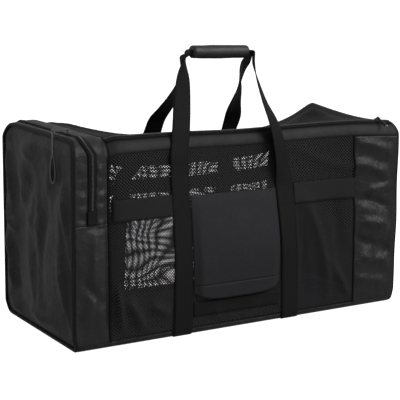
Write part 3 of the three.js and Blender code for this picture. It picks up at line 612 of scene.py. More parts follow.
def panel(name, xs, runs, finish, slot, nodes, out=0.0, cell=0.006, thickness=cloth_thick):
    """Cloth on the skin between two places along the bag and two runs round its girth."""
    long_x = max(abs(at_run(xs[1], run) - at_run(xs[0], run)) for run in runs)
    columns = max(2, round(long_x / cell))
    rows = max(2, round(abs(runs[1] - runs[0]) / cell))

    def lay(u, v):
        run = lerp(runs[0], runs[1], v)
        x = lerp(at_run(xs[0], run), at_run(xs[1], run), u)
        return skin(x, run, out), (x, run)

    return lay_grid(name, columns, rows, lay, finish, slot, nodes, thickness)


# %% [markdown]
# ## The net
#
# The net is a diamond mesh of thick yarn. A see-through texture would be quicker, but it has no depth,
# so real yarns are cut from a grid. The grid is turned and cut to the panel's size, every cell is
# inset, and the middles of the cells are taken out. The cell borders are lifted to one side and, on a
# mirrored copy, to the other, so that each yarn is a thin closed rod. The rear net is turned by other
# degrees than the front one, so the two don't line up where one is seen through the other, and both
# wander a little, as soft net does.

# %% Net panels
net_spacing = 0.0043
yarn_width = 0.0023
yarn_height = 0.0005
net_tuck = 0.006
net_wander = 0.007
front_bias = 45
rear_bias = 54


def net_panel(name, xs, runs, bias, nodes):
    """Net cut from a grid that is turned by its bias in degrees, and laid on the bag's skin."""
    middle_x, middle_run = (xs[0] + xs[1]) / 2, (runs[0] + runs[1]) / 2
    reach = math.hypot(xs[1] - xs[0], runs[1] - runs[0]) / 2
    count = math.ceil(2 * reach / net_spacing)
    net = bmesh.new()
    bmesh.ops.create_grid(net, x_segments=count, y_segments=count, size=count * net_spacing / 2)
    bmesh.ops.rotate(net, verts=net.verts, matrix=Matrix.Rotation(math.radians(bias), 3, "Z"))
    bmesh.ops.translate(net, verts=net.verts, vec=(middle_x, middle_run, 0))
    outside = []
    for face in net.faces:
        centre = face.calc_center_median()
        if not (xs[0] < centre.x < xs[1] and runs[0] < centre.y < runs[1]):
            outside.append(face)
    bmesh.ops.delete(net, geom=outside, context="FACES")
    ridges = [vertex for vertex in net.verts if not vertex.is_boundary]
    holes = list(net.faces)
    bmesh.ops.inset_individual(net, faces=holes, thickness=yarn_width / 2, use_even_offset=True)
    bmesh.ops.delete(net, geom=holes, context="FACES_ONLY")
    bmesh.ops.translate(net, verts=ridges, vec=(0, 0, yarn_height))
    bmesh.ops.mirror(net, geom=net.verts[:] + net.edges[:] + net.faces[:], axis="Z", merge_dist=1e-6)
    places = net.loops.layers.uv.new("cloth")
    for face in net.faces:
        for loop in face.loops:
            loop[places].uv = loop.vert.co.xy
    for vertex in net.verts:
        x, run, out = vertex.co
        edge = min(x - xs[0], xs[1] - x, run - runs[0], runs[1] - run)
        loose = net_wander * smooth(edge, 0.0, 0.030)
        spot = Vector((x * 14, run * 14, len(name)))
        x += loose * noise.noise(spot)
        run += loose * noise.noise(spot + Vector((7.3, 2.1, 5.7)))
        vertex.co = skin(x, run, out - cloth_thick / 2)
    bmesh.ops.recalc_face_normals(net, faces=net.faces)
    return finish_piece(net, name, net_yarn, nodes)


net_xs = (seam_x + gap / 2, wrap_seam_x + net_tuck)
front_net_runs = (front_wall(low_radius), front_wall(wall_top) + net_tuck)
rear_net_runs = (rear(front_wall(rear_hem_bottom) + net_tuck), rear(front_wall(low_radius)))
net_panel("front_net", net_xs, front_net_runs, front_bias, ["front_net_panel"])
net_panel("rear_net", net_xs, rear_net_runs, rear_bias, ["rear_net_panel"])

# %% [markdown]
# ## Cloth panels
#
# The base, the wraps at the right end, the hems and the lid are flat cuts, sewn edge to edge. They
# could be shaped one by one until they fit. Here each is only two places along the bag and two runs
# round its girth. Neighbours share a seam line with a hair's gap in it, and the slump moves both edges
# together, so they stay side by side.

# %% Base, wraps, hems and lid
inner_x = end_face - cloth_thick - gap
base_edge = foot_arc(1) - gap / 2
wall_low = front_wall(low_radius) + gap / 2
main_xs = (seam_x + gap / 2, inner_x)
wrap_xs = (wrap_seam_x + gap / 2, inner_x)

panel("base", (-inner_x, inner_x), (-base_edge, base_edge), nylon, "cloth", ["base_panel"], cell=0.012)
panel("front_wrap", wrap_xs, (wall_low, front_wall(wall_top) - gap / 2), nylon, "cloth",
      ["front_wrap_panel"], cell=0.0035)
panel("rear_wrap", wrap_xs, (rear(front_wall(rear_hem_bottom) - gap / 2), rear(wall_low)), nylon, "cloth",
      ["rear_wrap_panel"], cell=0.005)
panel("front_hem_cloth", main_xs, (front_wall(wall_top) + gap / 2, front_arc(hem_arc_share) - gap / 2),
      hem_nylon, "cloth", ["front_hem"], cell=0.005)
panel("rear_hem_cloth", main_xs,
      (rear(front_arc(hem_arc_share) - gap / 2), rear(front_wall(rear_hem_bottom))), nylon, "cloth",
      ["rear_hem"], cell=0.005)
panel("lid", main_xs, (front_arc(zip_arc_share) + gap / 2, rear(front_arc(hem_arc_share)) - gap / 2),
      lid_nylon, "cloth", ["lid_panel"])
panel("main_zip_strip", main_xs, (front_arc(hem_arc_share) + gap / 2, front_arc(zip_arc_share) - gap / 2),
      zip_tape, "zip", ["main_zip"], out=zip_proud, cell=0.005)

# %% [markdown]
# ## End walls
#
# Each end is one flat cut with rounded corners, sewn to the rest all round its rim. On an even grid the
# corners would come out stepped, so the grid's rows crowd together there and follow the curve. Soft
# folds and wrinkles push the wall along the bag. Behind the pocket's hanging pull they are held back,
# or they would hide it.

# %% End walls
end_fold_share = 1.4
end_wrinkle_size = 0.052
end_wrinkle_height = 0.0095
# The pocket's pull hangs from a hinge at this place along and across the bag.
pull_x, pull_y = -0.376162, -0.084283
pull_clear_half = 0.024
pull_clear_low, pull_clear_high = 0.255, 0.290
pull_clear_push = -0.004


def wall_row(v):
    """Height and half width of the end wall at a share of its rows."""
    low_share, high_share = 0.06, 0.86
    if v < low_share:
        turn = math.pi / 2 * v / low_share
        return low_radius * (1 - math.cos(turn)), half_flat + low_radius * math.sin(turn)
    if v > high_share:
        turn = math.pi / 2 * (v - high_share) / (1 - high_share)
        return wall_top + top_radius * math.sin(turn), top_flat + top_radius * math.cos(turn)
    return lerp(low_radius, wall_top, (v - low_share) / (high_share - low_share)), bag_depth / 2


def end_wall(name, x, facing, nodes, folds, rim, cell=0.005):
    """A wall across the bag at x, facing -1 or 1, drawn in from the bag's box by its rim."""
    columns, rows = round(bag_depth / cell), round(bag_height / cell)

    def lay(u, v):
        z, half_width = wall_row(v)
        shrink_y, shrink_z = 1 - 2 * rim / bag_depth, 1 - 2 * rim / bag_height
        y = facing * lerp(-half_width, half_width, u) * shrink_y
        z = bag_height / 2 + (z - bag_height / 2) * shrink_z
        edge = min(bag_depth / 2 - abs(y), z, bag_height - z)
        wrinkles = crumple(y * 1.3, z * 0.7, facing * 4.0, end_wrinkle_size, end_wrinkle_height)
        push = smooth(edge, 0.004, 0.030) * (end_fold_share * fold_height(folds, y, z) + wrinkles)
        if facing < 0:
            behind_pull = bell((y - pull_y) / pull_clear_half) * smooth(z, pull_clear_low, pull_clear_high)
            push = lerp(push, min(push, pull_clear_push), behind_pull)
        spot = slump(x, y, z)
        spot.x += facing * push
        return spot, (y, z)

    return lay_grid(name, columns, rows, lay, nylon, "cloth", nodes)


left_end_folds = [
    dict(start=(0.142, 0.360), end=(0.120, 0.230), width=0.009, height=0.005),
    dict(start=(0.148, 0.240), end=(0.104, 0.180), width=0.010, height=0.006, bow=0.006),
    dict(start=(0.146, 0.170), end=(0.120, 0.060), width=0.012, height=0.007, bow=-0.006),
    dict(start=(0.112, 0.150), end=(0.090, 0.060), width=0.013, height=-0.005),
    dict(start=(0.060, 0.350), end=(-0.020, 0.320), width=0.012, height=0.004),
    dict(start=(0.070, 0.260), end=(0.010, 0.200), width=0.018, height=0.003),
    dict(start=(-0.118, 0.300), end=(-0.146, 0.160), width=0.009, height=0.005),
    dict(start=(-0.108, 0.150), end=(-0.146, 0.040), width=0.010, height=0.006),
    dict(start=(0.060, 0.050), end=(-0.060, 0.036), width=0.010, height=0.004),
    dict(start=(0.138, 0.050), end=(0.090, 0.020), width=0.008, height=0.004),
]
end_wall("end_pocket_face", -end_face, -1, ["end_pocket_panel"], left_end_folds, gap)
end_wall("right_end_face", end_face, 1, ["right_end_panel"], [], gap)
end_wall("divider", seam_x - cloth_thick / 2, -1, ["divider_panel"], [], cloth_thick + gap, cell=0.012)

# %% [markdown]
# ## Rim bindings
#
# A tape is folded over the raw edges where each end wall meets the rest, and runs all round the rim.
# A bevelled curve would give a round pipe, and folded tape is squarer. So a grid is closed into a tube
# with a soft, boxy section, laid round the girth and merged where its edges meet.

# %% Rim bindings
rim_cells = 14
rim_step = 0.006
rim_softness = 0.6


def soft_wave(value):
    """A sine or cosine made squarer, with its sign kept."""
    return math.copysign(abs(value) ** rim_softness, value)


def binding(name, side, nodes):
    """A tape folded over the rim, with a boxy section, that runs all round the girth."""
    base = end_face + gap

    def lay(u, v):
        turn = 2 * math.pi * u
        run = girth * v
        x = side * (base + (bag_length / 2 - base) * (0.5 + 0.5 * soft_wave(math.cos(turn))))
        out = -gap - (binding_width - gap) * (0.5 - 0.5 * soft_wave(math.sin(turn)))
        return skin(x, run, out), (out, run)

    return lay_grid(name, rim_cells, round(girth / rim_step), lay, tape, "binding", nodes, thickness=0,
                    merge=True)


binding("left_rim_tape", -1, ["end_pocket_binding"])
binding("right_rim_tape", 1, ["right_end_binding"])

# %% [markdown]
# ## Pocket gusset
#
# The end pocket opens round its top and half way down both sides. Its zip lies between two narrow
# strips of cloth, and below the zip's ends the gusset is whole. The zip bends towards the end on its
# way up, so it can't be cut straight: the strips' edges are functions of the run round the girth.

# %% Pocket gusset
zip_tab_overlap = 0.002


def zip_outer_edge(run):
    return zip_centre(run) - zip_width / 2


def zip_inner_edge(run):
    return zip_centre(run) + zip_width / 2


zip_start = front_wall(pocket_zip_end) + gap / 2
zip_runs = (zip_start, rear(zip_start))
gusset_low = (wall_low, front_wall(pocket_zip_end) - gap / 2)
gusset_xs = (-inner_x, seam_x - gap / 2)
panel("gusset_outer", (-inner_x, lambda run: zip_outer_edge(run) - gap), zip_runs, gusset_nylon,
      "cloth", ["gusset_outer_strip"], cell=0.003)
panel("gusset_inner", (lambda run: zip_inner_edge(run) + gap, seam_x - gap / 2), zip_runs, gusset_nylon,
      "cloth", ["gusset_inner_strip"], cell=0.003)
panel("gusset_front", gusset_xs, gusset_low, gusset_nylon, "cloth", ["gusset_front_lower"], cell=0.003)
panel("gusset_rear", gusset_xs, (rear(gusset_low[1]), rear(gusset_low[0])), gusset_nylon, "cloth",
      ["gusset_rear_lower"], cell=0.005)
panel("pocket_zip_strip", (zip_outer_edge, zip_inner_edge), zip_runs, zip_tape, "zip", ["pocket_zip"],
      out=zip_proud, cell=0.003)
tab_out = zip_proud + gap + cloth_thick
tab_xs = (lambda run: zip_outer_edge(run) - zip_tab_overlap,
          lambda run: zip_inner_edge(run) + zip_tab_overlap)
tab_runs = (zip_start, front_wall(pocket_zip_end + zip_tab_length))
panel("zip_tab_front", tab_xs, tab_runs, webbing, "webbing", ["zip_end_tab_front"], out=tab_out, cell=0.003)
panel("zip_tab_rear", tab_xs, (rear(tab_runs[1]), rear(tab_runs[0])), webbing, "webbing",
      ["zip_end_tab_rear"], out=tab_out, cell=0.003)

# %% [markdown]
# ## Seam tapes
#
# A narrow tape covers the two upright joins at the ends of the net, front and rear. Its near-black
# colour is painted shade as well: it draws the dark line of each seam's groove. It could be painted on,
# but a real tape stands off the cloth, and that edge catches the light. So it is a panel like the
# others, lifted a little.

# %% Seam tapes
seam_half = 0.0017
seam_out = 0.0014
seam_runs = dict(front=(wall_low, front_wall(wall_top)),
                 rear=(rear(front_wall(rear_hem_bottom)), rear(wall_low)))
for name, x in (("pocket_seam", seam_x), ("wrap_seam", wrap_seam_x)):
    for side, runs in seam_runs.items():
        panel(name + "_tape_" + side, (x - seam_half, x + seam_half), runs, seam_shade_tape, "binding", [],
              out=seam_out, cell=0.004)

# %% [markdown]
# ## Zip coils
#
# A coil zip shows as a raised ridge of small teeth between two flat tapes. A bump would do from far
# off, but up close the ridge has to throw a shadow. Each tooth is one small many-sided bead, squeezed
# into a bar and repeated along the zip's own path, which costs few faces.

# %% Coil teeth
tooth_pitch = 0.0022
tooth_size = (0.0008, 0.0030, 0.0011)
coil_finish = Finish("zip_coil", (0.060, 0.060, 0.061), 0.30, gloss=0.8)


def place_beads(name, spots, finish):
    """Small beads on a piece: each spot gives a centre, its long and upward directions and a size."""
    beads = bmesh.new()
    for centre, long_way, up_way, size in spots:
        side_way = up_way.cross(long_way).normalized()
        turn = Matrix((long_way, side_way, up_way)).transposed()
        spot = Matrix.Translation(centre) @ (turn @ Matrix.Diagonal(size)).to_4x4()
        bmesh.ops.create_icosphere(beads, subdivisions=1, radius=1.0, matrix=spot)
    print(name, len(spots), "beads")
    return finish_piece(beads, name, finish, [])


def square_up(x, run, lift, ahead):
    """The upward direction of the cloth at a place, square to the way a bead lies."""
    up = (skin(x, run, lift) - skin(x, run, 0.0)).normalized()
    return (up - ahead * up.dot(ahead)).normalized()


def coil(name, path, count):
    """Teeth along a path: `path(t)` gives an (x, run) place for t from 0 to 1."""
    spots = []
    for i in range(count):
        t = (i + 0.5) / count
        (x0, run0), (x1, run1) = path(t - 0.5 / count), path(t + 0.5 / count)
        centre = skin((x0 + x1) / 2, (run0 + run1) / 2, zip_proud + tooth_size[2] * 0.6)
        ahead = (skin(x1, run1, zip_proud) - skin(x0, run0, zip_proud)).normalized()
        spots.append((centre, ahead, square_up(x0, run0, 0.02, ahead), tooth_size))
    return place_beads(name, spots, coil_finish)


main_zip_run = front_arc((hem_arc_share + zip_arc_share) / 2)
main_zip_long = main_xs[1] - main_xs[0]


def main_zip_path(t):
    return lerp(main_xs[0], main_xs[1], t), main_zip_run


def pocket_zip_path(t):
    run = lerp(zip_runs[0], zip_runs[1], t)
    return zip_centre(run), run


coil("main_zip_coil", main_zip_path, round(main_zip_long / tooth_pitch))
coil("pocket_zip_coil", pocket_zip_path, round((zip_runs[1] - zip_runs[0]) / tooth_pitch))

# %% [markdown]
# ## Stitching
#
# The handles and bands are sewn on with rows of short stitches in black thread, and each handle is
# held at the band by a stitched box with a cross in it. A row follows places on the cloth at an even
# spacing. Each stitch is a small long bead half sunk in the webbing, like the zips' teeth, and all of
# them go into one piece at the end.

# %% Stitch rows
stitch_pitch = 0.0034
stitch_size = (0.0012, 0.0003, 0.0003)
thread = Finish("thread", (0.010, 0.010, 0.0105), 0.55, gloss=0.2)
stitches = []


def stitch_row(start, end, out):
    """Stitches between two (x, run) places, at a height over the cloth."""
    long = math.hypot(end[0] - start[0], end[1] - start[1])
    count = max(1, round(long / stitch_pitch))
    for i in range(count):
        ends = []
        for t in (i / count, (i + 1) / count):
            ends.append(skin(lerp(start[0], end[0], t), lerp(start[1], end[1], t), out))
        middle_x = lerp(start[0], end[0], (i + 0.5) / count)
        middle_run = lerp(start[1], end[1], (i + 0.5) / count)
        ahead = (ends[1] - ends[0]).normalized()
        up = square_up(middle_x, middle_run, 0.01, ahead)
        stitches.append((skin(middle_x, middle_run, out), ahead, up, stitch_size))


def stitch_box(x, low_run, high_run, half_width, out):
    """The box with a cross in it that sews a handle down at a band."""
    left, right = x - half_width, x + half_width
    corners = [(left, low_run), (right, low_run), (right, high_run), (left, high_run)]
    for start, end in ((0, 1), (1, 2), (2, 3), (3, 0), (0, 2), (1, 3)):
        stitch_row(corners[start], corners[end], out)


# %% [markdown]
# ## Handles
#
# Four straps of 40 mm webbing are sewn up the front and the rear as far as the band. Above it they run
# free, turn edge on, gather and meet in the grip. A curve with a flat bevel twists where it likes, so
# each strap is laid through stations instead: pairs of points on its two edges, joined by a smooth
# curve, which fixes its width and its turn at every place.

# %% Handle sizes and routes
front_handle_spacing = 0.245
front_handle_middle = -0.026
front_right_lean = -0.004
rear_handle_spacing = 0.262
rear_handle_middle = 0.011
grip_length = 0.134
grip_radius = 0.0125
grip_middle = Vector((-0.018, -0.070, 0.527))
handle_end_width = 0.015
handle_end_spread = 0.003
handle_end_offset = 0.001
handle_end_step = 0.020
handle_end_turn = 90
sewn_steps = 48
free_steps = 8
sewn_foot_share = 0.45
grip_start = grip_middle.x - grip_length / 2
grip_end = grip_middle.x + grip_length / 2
front_handles = [front_handle_middle + side * front_handle_spacing / 2 for side in (-1, 1)]
rear_handles = [rear_handle_middle + side * rear_handle_spacing / 2 for side in (-1, 1)]

# Each free station is a place, then the webbing's turn in degrees and its width there.
strap_routes = [
    dict(name="front_left_strap", x=front_handles[0], lean=0.0, sway=0.0, open=(0, 0),
         end_x=grip_start, end_z=1, free=[
             (-0.137, -0.129, 0.392, 4, 0.038), (-0.123, -0.108, 0.436, 6, 0.037),
             (-0.110, -0.091, 0.480, 18, 0.033), (-0.101, -0.081, 0.508, 48, 0.025),
             (-0.096, -0.079, 0.525, 76, 0.017)]),
    dict(name="front_right_strap", x=front_handles[1], lean=front_right_lean, sway=-0.014, open=(22, 26),
         end_x=grip_end, end_z=1, free=[
             (0.072, -0.131, 0.392, 28, 0.036), (0.063, -0.112, 0.432, 42, 0.032),
             (0.056, -0.096, 0.474, 52, 0.029), (0.054, -0.085, 0.505, 66, 0.023),
             (0.056, -0.080, 0.524, 80, 0.017)]),
    dict(name="rear_left_strap", x=rear_handles[0], lean=0.004, sway=0.050, open=(0, 0),
         end_x=grip_start, end_z=-1, free=[
             (-0.064, 0.092, 0.384, -4, 0.038), (-0.060, 0.062, 0.412, 10, 0.037),
             (-0.061, 0.028, 0.440, 24, 0.034), (-0.072, -0.010, 0.470, 44, 0.030),
             (-0.088, -0.042, 0.497, 66, 0.024), (-0.097, -0.058, 0.514, 82, 0.017)]),
    dict(name="rear_right_strap", x=rear_handles[1], lean=-0.002, sway=-0.014, open=(0, 0),
         end_x=grip_end, end_z=-1, free=[
             (0.124, 0.094, 0.382, -6, 0.038), (0.108, 0.066, 0.408, 18, 0.036),
             (0.093, 0.032, 0.440, 40, 0.032), (0.074, -0.004, 0.470, 62, 0.028),
             (0.060, -0.036, 0.496, 78, 0.022), (0.058, -0.056, 0.512, 86, 0.017)]),
]
tape_out = gap + webbing_thick


def sewn_x(route, z):
    """How far along the bag the sewn part of a strap runs at a height."""
    return route["x"] + route["lean"] * (2 * z / band_top - 1)


def strap_stations(route):
    """Pairs of edge points from the foot of the strap to inside the grip."""
    behind = route["end_z"] < 0
    top_x = sewn_x(route, band_top)
    rows = []
    for i in range(sewn_steps + 1):
        run = lerp(foot_arc(sewn_foot_share), front_wall(band_top), i / sewn_steps)
        rows.append((run, 0.0, sewn_x(route, profile(run)[1]), 0))
    # Above the band: run, lift off the cloth, share of the strap's sway, and how far it opens outwards.
    loose = [(front_wall((band_top + wall_top) / 2), 0.001, 0.4, route["open"][0]),
             (front_wall(wall_top - 0.006), 0.0024, 0.75, route["open"][1])]
    if behind:
        loose += [(front_arc(0.35), 0.0032, 0.92, 0), (front_arc(0.75), 0.004, 1.0, 0)]
    for run, lift, share, opened in loose:
        rows.append((run, lift, top_x + share * route["sway"], opened))
    pairs = []
    for run, lift, x, opened in rows:
        along = rear(run) if behind else run
        reach = half_webbing * math.cos(math.radians(opened))
        stand_off = webbing_width * math.sin(math.radians(opened))
        pairs.append([skin(x - reach, along, tape_out + lift + stand_off),
                      skin(x + reach, along, tape_out + lift)])
    inward = 1 if route["end_x"] < grip_middle.x else -1
    end_y = grip_middle.y - route["end_z"] * handle_end_offset
    end_z = grip_middle.z + route["end_z"] * handle_end_spread
    free = list(route["free"])
    for end_x in (route["end_x"], route["end_x"] + inward * handle_end_step):
        free.append((end_x, end_y, end_z, handle_end_turn, handle_end_width))
    centres = [sum(pairs[-1], Vector()) / 2] + [Vector(row[:3]) for row in free]
    centres.append(centres[-1] + Vector((inward * handle_end_step, 0, 0)))
    for i, row in enumerate(free):
        tangent = (centres[i + 2] - centres[i]).normalized()
        across = Vector((math.cos(math.radians(row[3])), math.sin(math.radians(row[3])), 0.0))
        across = (across - tangent * across.dot(tangent)).normalized()
        pairs.append([centres[i + 1] + across * half * row[4] for half in (-0.5, 0.5)])
    return pairs


def smooth_between(points, t):
    """A point on the smooth curve through a list of points, t from 0 to its last index."""
    i = min(int(t), len(points) - 2)
    a, b = points[i], points[i + 1]
    before = points[i - 1] if i else a
    after = points[i + 2] if i + 2 < len(points) else b
    s = t - i
    slope_a, slope_b = (b - before) / 2, (after - a) / 2
    return (a * (2 * s ** 3 - 3 * s ** 2 + 1) + slope_a * (s ** 3 - 2 * s ** 2 + s)
            + b * (3 * s ** 2 - 2 * s ** 3) + slope_b * (s ** 3 - s ** 2))


def strap(route):
    """Lays the webbing of one strap through its stations and prints its length."""
    pairs = strap_stations(route)
    lefts, rights = [pair[0] for pair in pairs], [pair[1] for pair in pairs]
    if route["end_z"] < 0:
        lefts, rights = rights, lefts
    last = len(pairs) - 1
    steps = sewn_steps + 1 + (last - sewn_steps) * free_steps

    def station(v):
        k = v * steps
        if k <= sewn_steps:
            return k
        return min(last, sewn_steps + (k - sewn_steps) * (last - sewn_steps) / (steps - sewn_steps))

    lengths = [0.0]
    for k in range(steps):
        step = smooth_between(lefts, station((k + 1) / steps)) - smooth_between(lefts, station(k / steps))
        lengths.append(lengths[-1] + step.length)

    def lay(u, v):
        t = station(v)
        left, right = smooth_between(lefts, t), smooth_between(rights, t)
        return left.lerp(right, u), ((u - 0.5) * webbing_width, lengths[round(v * steps)])

    print(route["name"], "length", round(lengths[-1], 3))
    return lay_grid(route["name"] + "_webbing", 8, steps, lay, webbing, "webbing", [route["name"]],
                    thickness=webbing_thick)


for route in strap_routes:
    strap(route)

# %% [markdown]
# ## Bands
#
# A level band of the same webbing crosses the net, and the handles are sewn over it. It is coloured
# lighter than the handles' webbing, as painted light. It could run on behind them in one piece, but
# two sheets in one place show through each other in patches. So each stretch of the band ends at a
# handle's edge.

# %% Bands
def strap_edge(route, side):
    """How far along the bag a band may reach before it meets the strap."""
    low, high = sewn_x(route, band_bottom), sewn_x(route, band_top)
    reach = min(low, high) if side < 0 else max(low, high)
    return reach + side * (half_webbing + gap)


front_left, front_right, rear_left, rear_right = strap_routes
band_runs = (front_wall(band_bottom), front_wall(band_top))
band_pieces = [
    ("front_band_left", seam_x + band_setback, strap_edge(front_left, -1), False),
    ("front_band_right", strap_edge(front_right, 1), wrap_seam_x - gap, False),
    ("rear_band_left", seam_x + band_setback, strap_edge(rear_left, -1), True),
    ("rear_band_middle", strap_edge(rear_left, 1), strap_edge(rear_right, -1), True),
    ("rear_band_right", strap_edge(rear_right, 1), wrap_seam_x - gap, True),
]
for name, low_x, high_x, behind in band_pieces:
    runs = (rear(band_runs[1]), rear(band_runs[0])) if behind else band_runs
    panel(name + "_webbing", (low_x, high_x), runs, band_tape_painted_light, "webbing", [name], out=tape_out, cell=0.005,
          thickness=webbing_thick)

# %% [markdown]
# ## Rows on the handles and bands
#
# On the real bag two rows hold each handle from its foot to the band, and a row runs along each edge
# of the band. They could be a texture on the webbing, but they follow the seams and not the weave. The
# rows are laid now, when the places of the handles are known.

# %% Rows on the handles and bands
seam_inset = 0.003
stitch_foot = 0.02
for route in strap_routes:
    behind = route["end_z"] < 0
    turned = rear if behind else (lambda run: run)
    for side in (-1, 1):
        edge = side * (half_webbing - seam_inset)
        stitch_row((sewn_x(route, stitch_foot) + edge, turned(front_wall(stitch_foot))),
                   (sewn_x(route, band_bottom) + edge, turned(front_wall(band_bottom))), tape_out)
    band_x = sewn_x(route, (band_bottom + band_top) / 2)
    box_heights = (band_bottom + seam_inset, band_top - seam_inset)
    low_run, high_run = sorted(turned(front_wall(z)) for z in box_heights)
    stitch_box(band_x, low_run, high_run, half_webbing - seam_inset, tape_out)
for name, low_x, high_x, behind in band_pieces:
    for z in (band_bottom + seam_inset, band_top - seam_inset):
        run = rear(front_wall(z)) if behind else front_wall(z)
        stitch_row((low_x, run), (high_x, run), tape_out)
print(len(stitches), "stitches")

# %% [markdown]
# ## Stow pocket
#
# A flat pocket of packcloth lies between the front handles, and such bags often fold away into it. Its
# pouch is cut a little fuller than its place, so it stands proud towards its foot and is drawn in at
# its sides. A hem closes the foot, curved up at both corners, and a strip of webbing lies below it. A
# box would be simpler, but sewn cloth has no flat faces. So both sheets follow the bag's own skin,
# with the fullness added on top.

# %% Stow pocket
stow_top = 0.265
stow_hem_top = 0.095
stow_hem_bottom = 0.066
stow_hem_rise = 0.016
stow_lip_bottom = 0.035
stow_lip_height = 0.028
stow_side_gap = 0.0015
stow_fullness = 0.0085
stow_cell = 0.004
stow_left = front_handles[0] + half_webbing + stow_side_gap
stow_right = front_handles[1] + front_right_lean - half_webbing - stow_side_gap


def fullness(x, z):
    """How far the pocket stands proud: most at its foot, nothing at its sides and top."""
    across = abs((2 * x - stow_left - stow_right) / (stow_right - stow_left))
    edges = 1 - smooth(across, 0.82, 1)
    downward = smooth((stow_top - z) / (stow_top - stow_hem_top), 0, 0.9)
    return stow_fullness * edges * (0.25 * smooth(stow_top - z, 0, 0.020) + 0.75 * downward)


def stow_sheet(name, low_z, high_z, slot, nodes):
    """Packcloth between two heights, each a function of the share across from -1 to 1."""
    columns = round((stow_right - stow_left) / stow_cell)
    rows = max(2, round((high_z(0) - low_z(0)) / stow_cell))

    def lay(u, v):
        x = lerp(stow_left, stow_right, u)
        across = 2 * u - 1
        z = lerp(low_z(across), high_z(across), v)
        return skin(x, front_wall(z), gap + cloth_thick + fullness(x, z)), (x, z)

    return lay_grid(name, columns, rows, lay, packcloth, slot, nodes)


stow_sheet("stow_pocket_pouch", lambda a: stow_hem_top, lambda a: stow_top, "pocket_cloth", ["stow_pocket"])
stow_sheet("stow_hem_tape", lambda a: stow_hem_bottom + stow_hem_rise * a ** 4,
           lambda a: stow_hem_top - gap, "webbing", ["stow_pocket_hem"])
panel("stow_lip_tape", (stow_left, stow_right),
      (front_wall(stow_lip_bottom), front_wall(stow_lip_bottom + stow_lip_height)), webbing, "webbing",
      ["stow_pocket_lip"], out=gap + cloth_thick, cell=0.005, thickness=cloth_thick - gap)

# %% [markdown]
# ## Padded grip
#
# The grip is a padded sleeve closed round the four strap ends. A cloth simulation is the usual way to
# make padding, but padding 25 mm thick hardly moves under one. So it is modelled as it lies: rounded
# ends, a swell between them, soft creases, and the step where its flap closes over itself.

# %% Grip
grip_end_share = 0.05
grip_swell = 0.0009
grip_flap = 0.0008
grip_flap_turn = 250
grip_crease = 0.0005
grip_sink = 0.0004
grip_cells = (56, 76)
grip_cloth = make_cloth("grip_cloth", (0.0200, 0.0200, 0.0225), 0.46, 0.0016, 0.0012, gloss=0.42)


def grip_spot(u, v):
    """A point of the sleeve: u goes round it and v along it, closing to a point at both ends."""
    turn = 2 * math.pi * u
    end = min(v, 1 - v)
    closing = math.pi / 2 * min(1.0, end / grip_end_share)
    share = grip_end_share * (1 - math.cos(closing)) if end < grip_end_share else end
    along = grip_length * (share if v < 0.5 else 1 - share)
    flap = smooth(math.degrees(turn), grip_flap_turn - 8, grip_flap_turn) * (1 - smooth(u, 0.86, 1.0))
    around = Vector((math.sin(turn) * 1.3, math.cos(turn) * 1.3, along * 45))
    soft = grip_swell * math.sin(math.pi * v) + grip_crease * noise.noise(around)
    step = grip_flap * flap * smooth(end, 0.03, 0.06)
    radius = (grip_radius - grip_sink + soft + step) * math.sin(closing)
    offset = Vector((0.0, math.sin(turn), math.cos(turn))) * radius
    spot = Vector((grip_start + along, grip_middle.y, grip_middle.z)) + offset
    return spot, (along, turn * grip_radius)


grip = lay_grid("padded_grip", *grip_cells, grip_spot, grip_cloth, "pocket_cloth", ["grip_wrap"],
                thickness=0, merge=True)

# %% All the stitches in one piece
place_beads("seam_stitches", stitches, thread)

# %% [markdown]
# ## Metal and moulded pulls
#
# The sliders, the tabs and the link are small castings with a few flat faces, so they keep their CAD
# shapes, in dark nickel plate that is worn a little unevenly. The moulded loop is round in section,
# which a CAD solid of few faces can't show. It is modelled anew: a grid closed into a cord and bent
# to a teardrop, with a thin dark web in it that starts as a filled circle. The cord is coloured grey,
# lighter than the web, as a painted highlight on the loop's rim.

# %% Metal and moulded pulls
def make_hard(name, colour, roughness, metallic, grain, gloss=0.5):
    """A hard finish on Object coordinates: cloudy wear and a fine grain."""
    finish = Finish(name, colour, roughness, metallic=metallic, gloss=gloss)
    place = finish.make("ShaderNodeTexCoord", output="Object")
    worn = finish.noise(place, 260.0, 3.0)
    fine = finish.noise(place, 1400.0, 2.0)
    finish.feed("Base Color", finish.tint(worn, [c * 0.7 for c in colour], [c * 1.3 for c in colour]))
    finish.feed("Roughness", worn * 0.22 + (roughness - 0.11))
    finish.feed("Normal", finish.bump(fine, grain))
    return finish


nickel = make_hard("dark_nickel", (0.22, 0.22, 0.22), 0.32, 1.0, 0.00003)
# The loop's cord is coloured grey, far lighter than its web, as a painted highlight on its rim.
rubber = make_hard("moulded_rubber_painted_highlight", (0.055, 0.055, 0.055), 0.24, 0.0, 0.00005, gloss=0.7)
dark_rubber = make_hard("dark_rubber", (0.0020, 0.0020, 0.0020), 0.5, 0.0, 0.00005, gloss=0.2)
for node in ("pocket_slider", "pocket_pull_tab", "pocket_pull_link", "main_slider", "main_pull_tab"):
    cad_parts[node].material_slots[0].material = nickel.material

# %% Moulded loop
loop_cells = 48
cord_cells = 12
loop_cord = 0.0020
loop_web = 0.0010
loop_half_top = 0.0034
loop_half_foot = 0.0086
loop_top = 0.3485
loop_foot = 0.2980
loop_turn = math.radians(20)
loop_sideways = Vector((-math.sin(loop_turn), math.cos(loop_turn), 0.0))
loop_facing = Vector((math.cos(loop_turn), math.sin(loop_turn), 0.0))


def teardrop(share):
    """Place (sideways, up) at a share of the way round: narrow at the top, round at the foot."""
    turn = 2 * math.pi * share
    up = 0.5 + 0.5 * math.cos(turn)
    half = lerp(loop_half_foot, loop_half_top, up ** 0.8)
    middle = lerp(loop_foot + loop_half_foot, loop_top - loop_half_top, up)
    return half * math.sin(turn), middle + half * math.cos(turn)


def loop_point(across, z):
    return Vector((pull_x, pull_y, z)) + loop_sideways * across


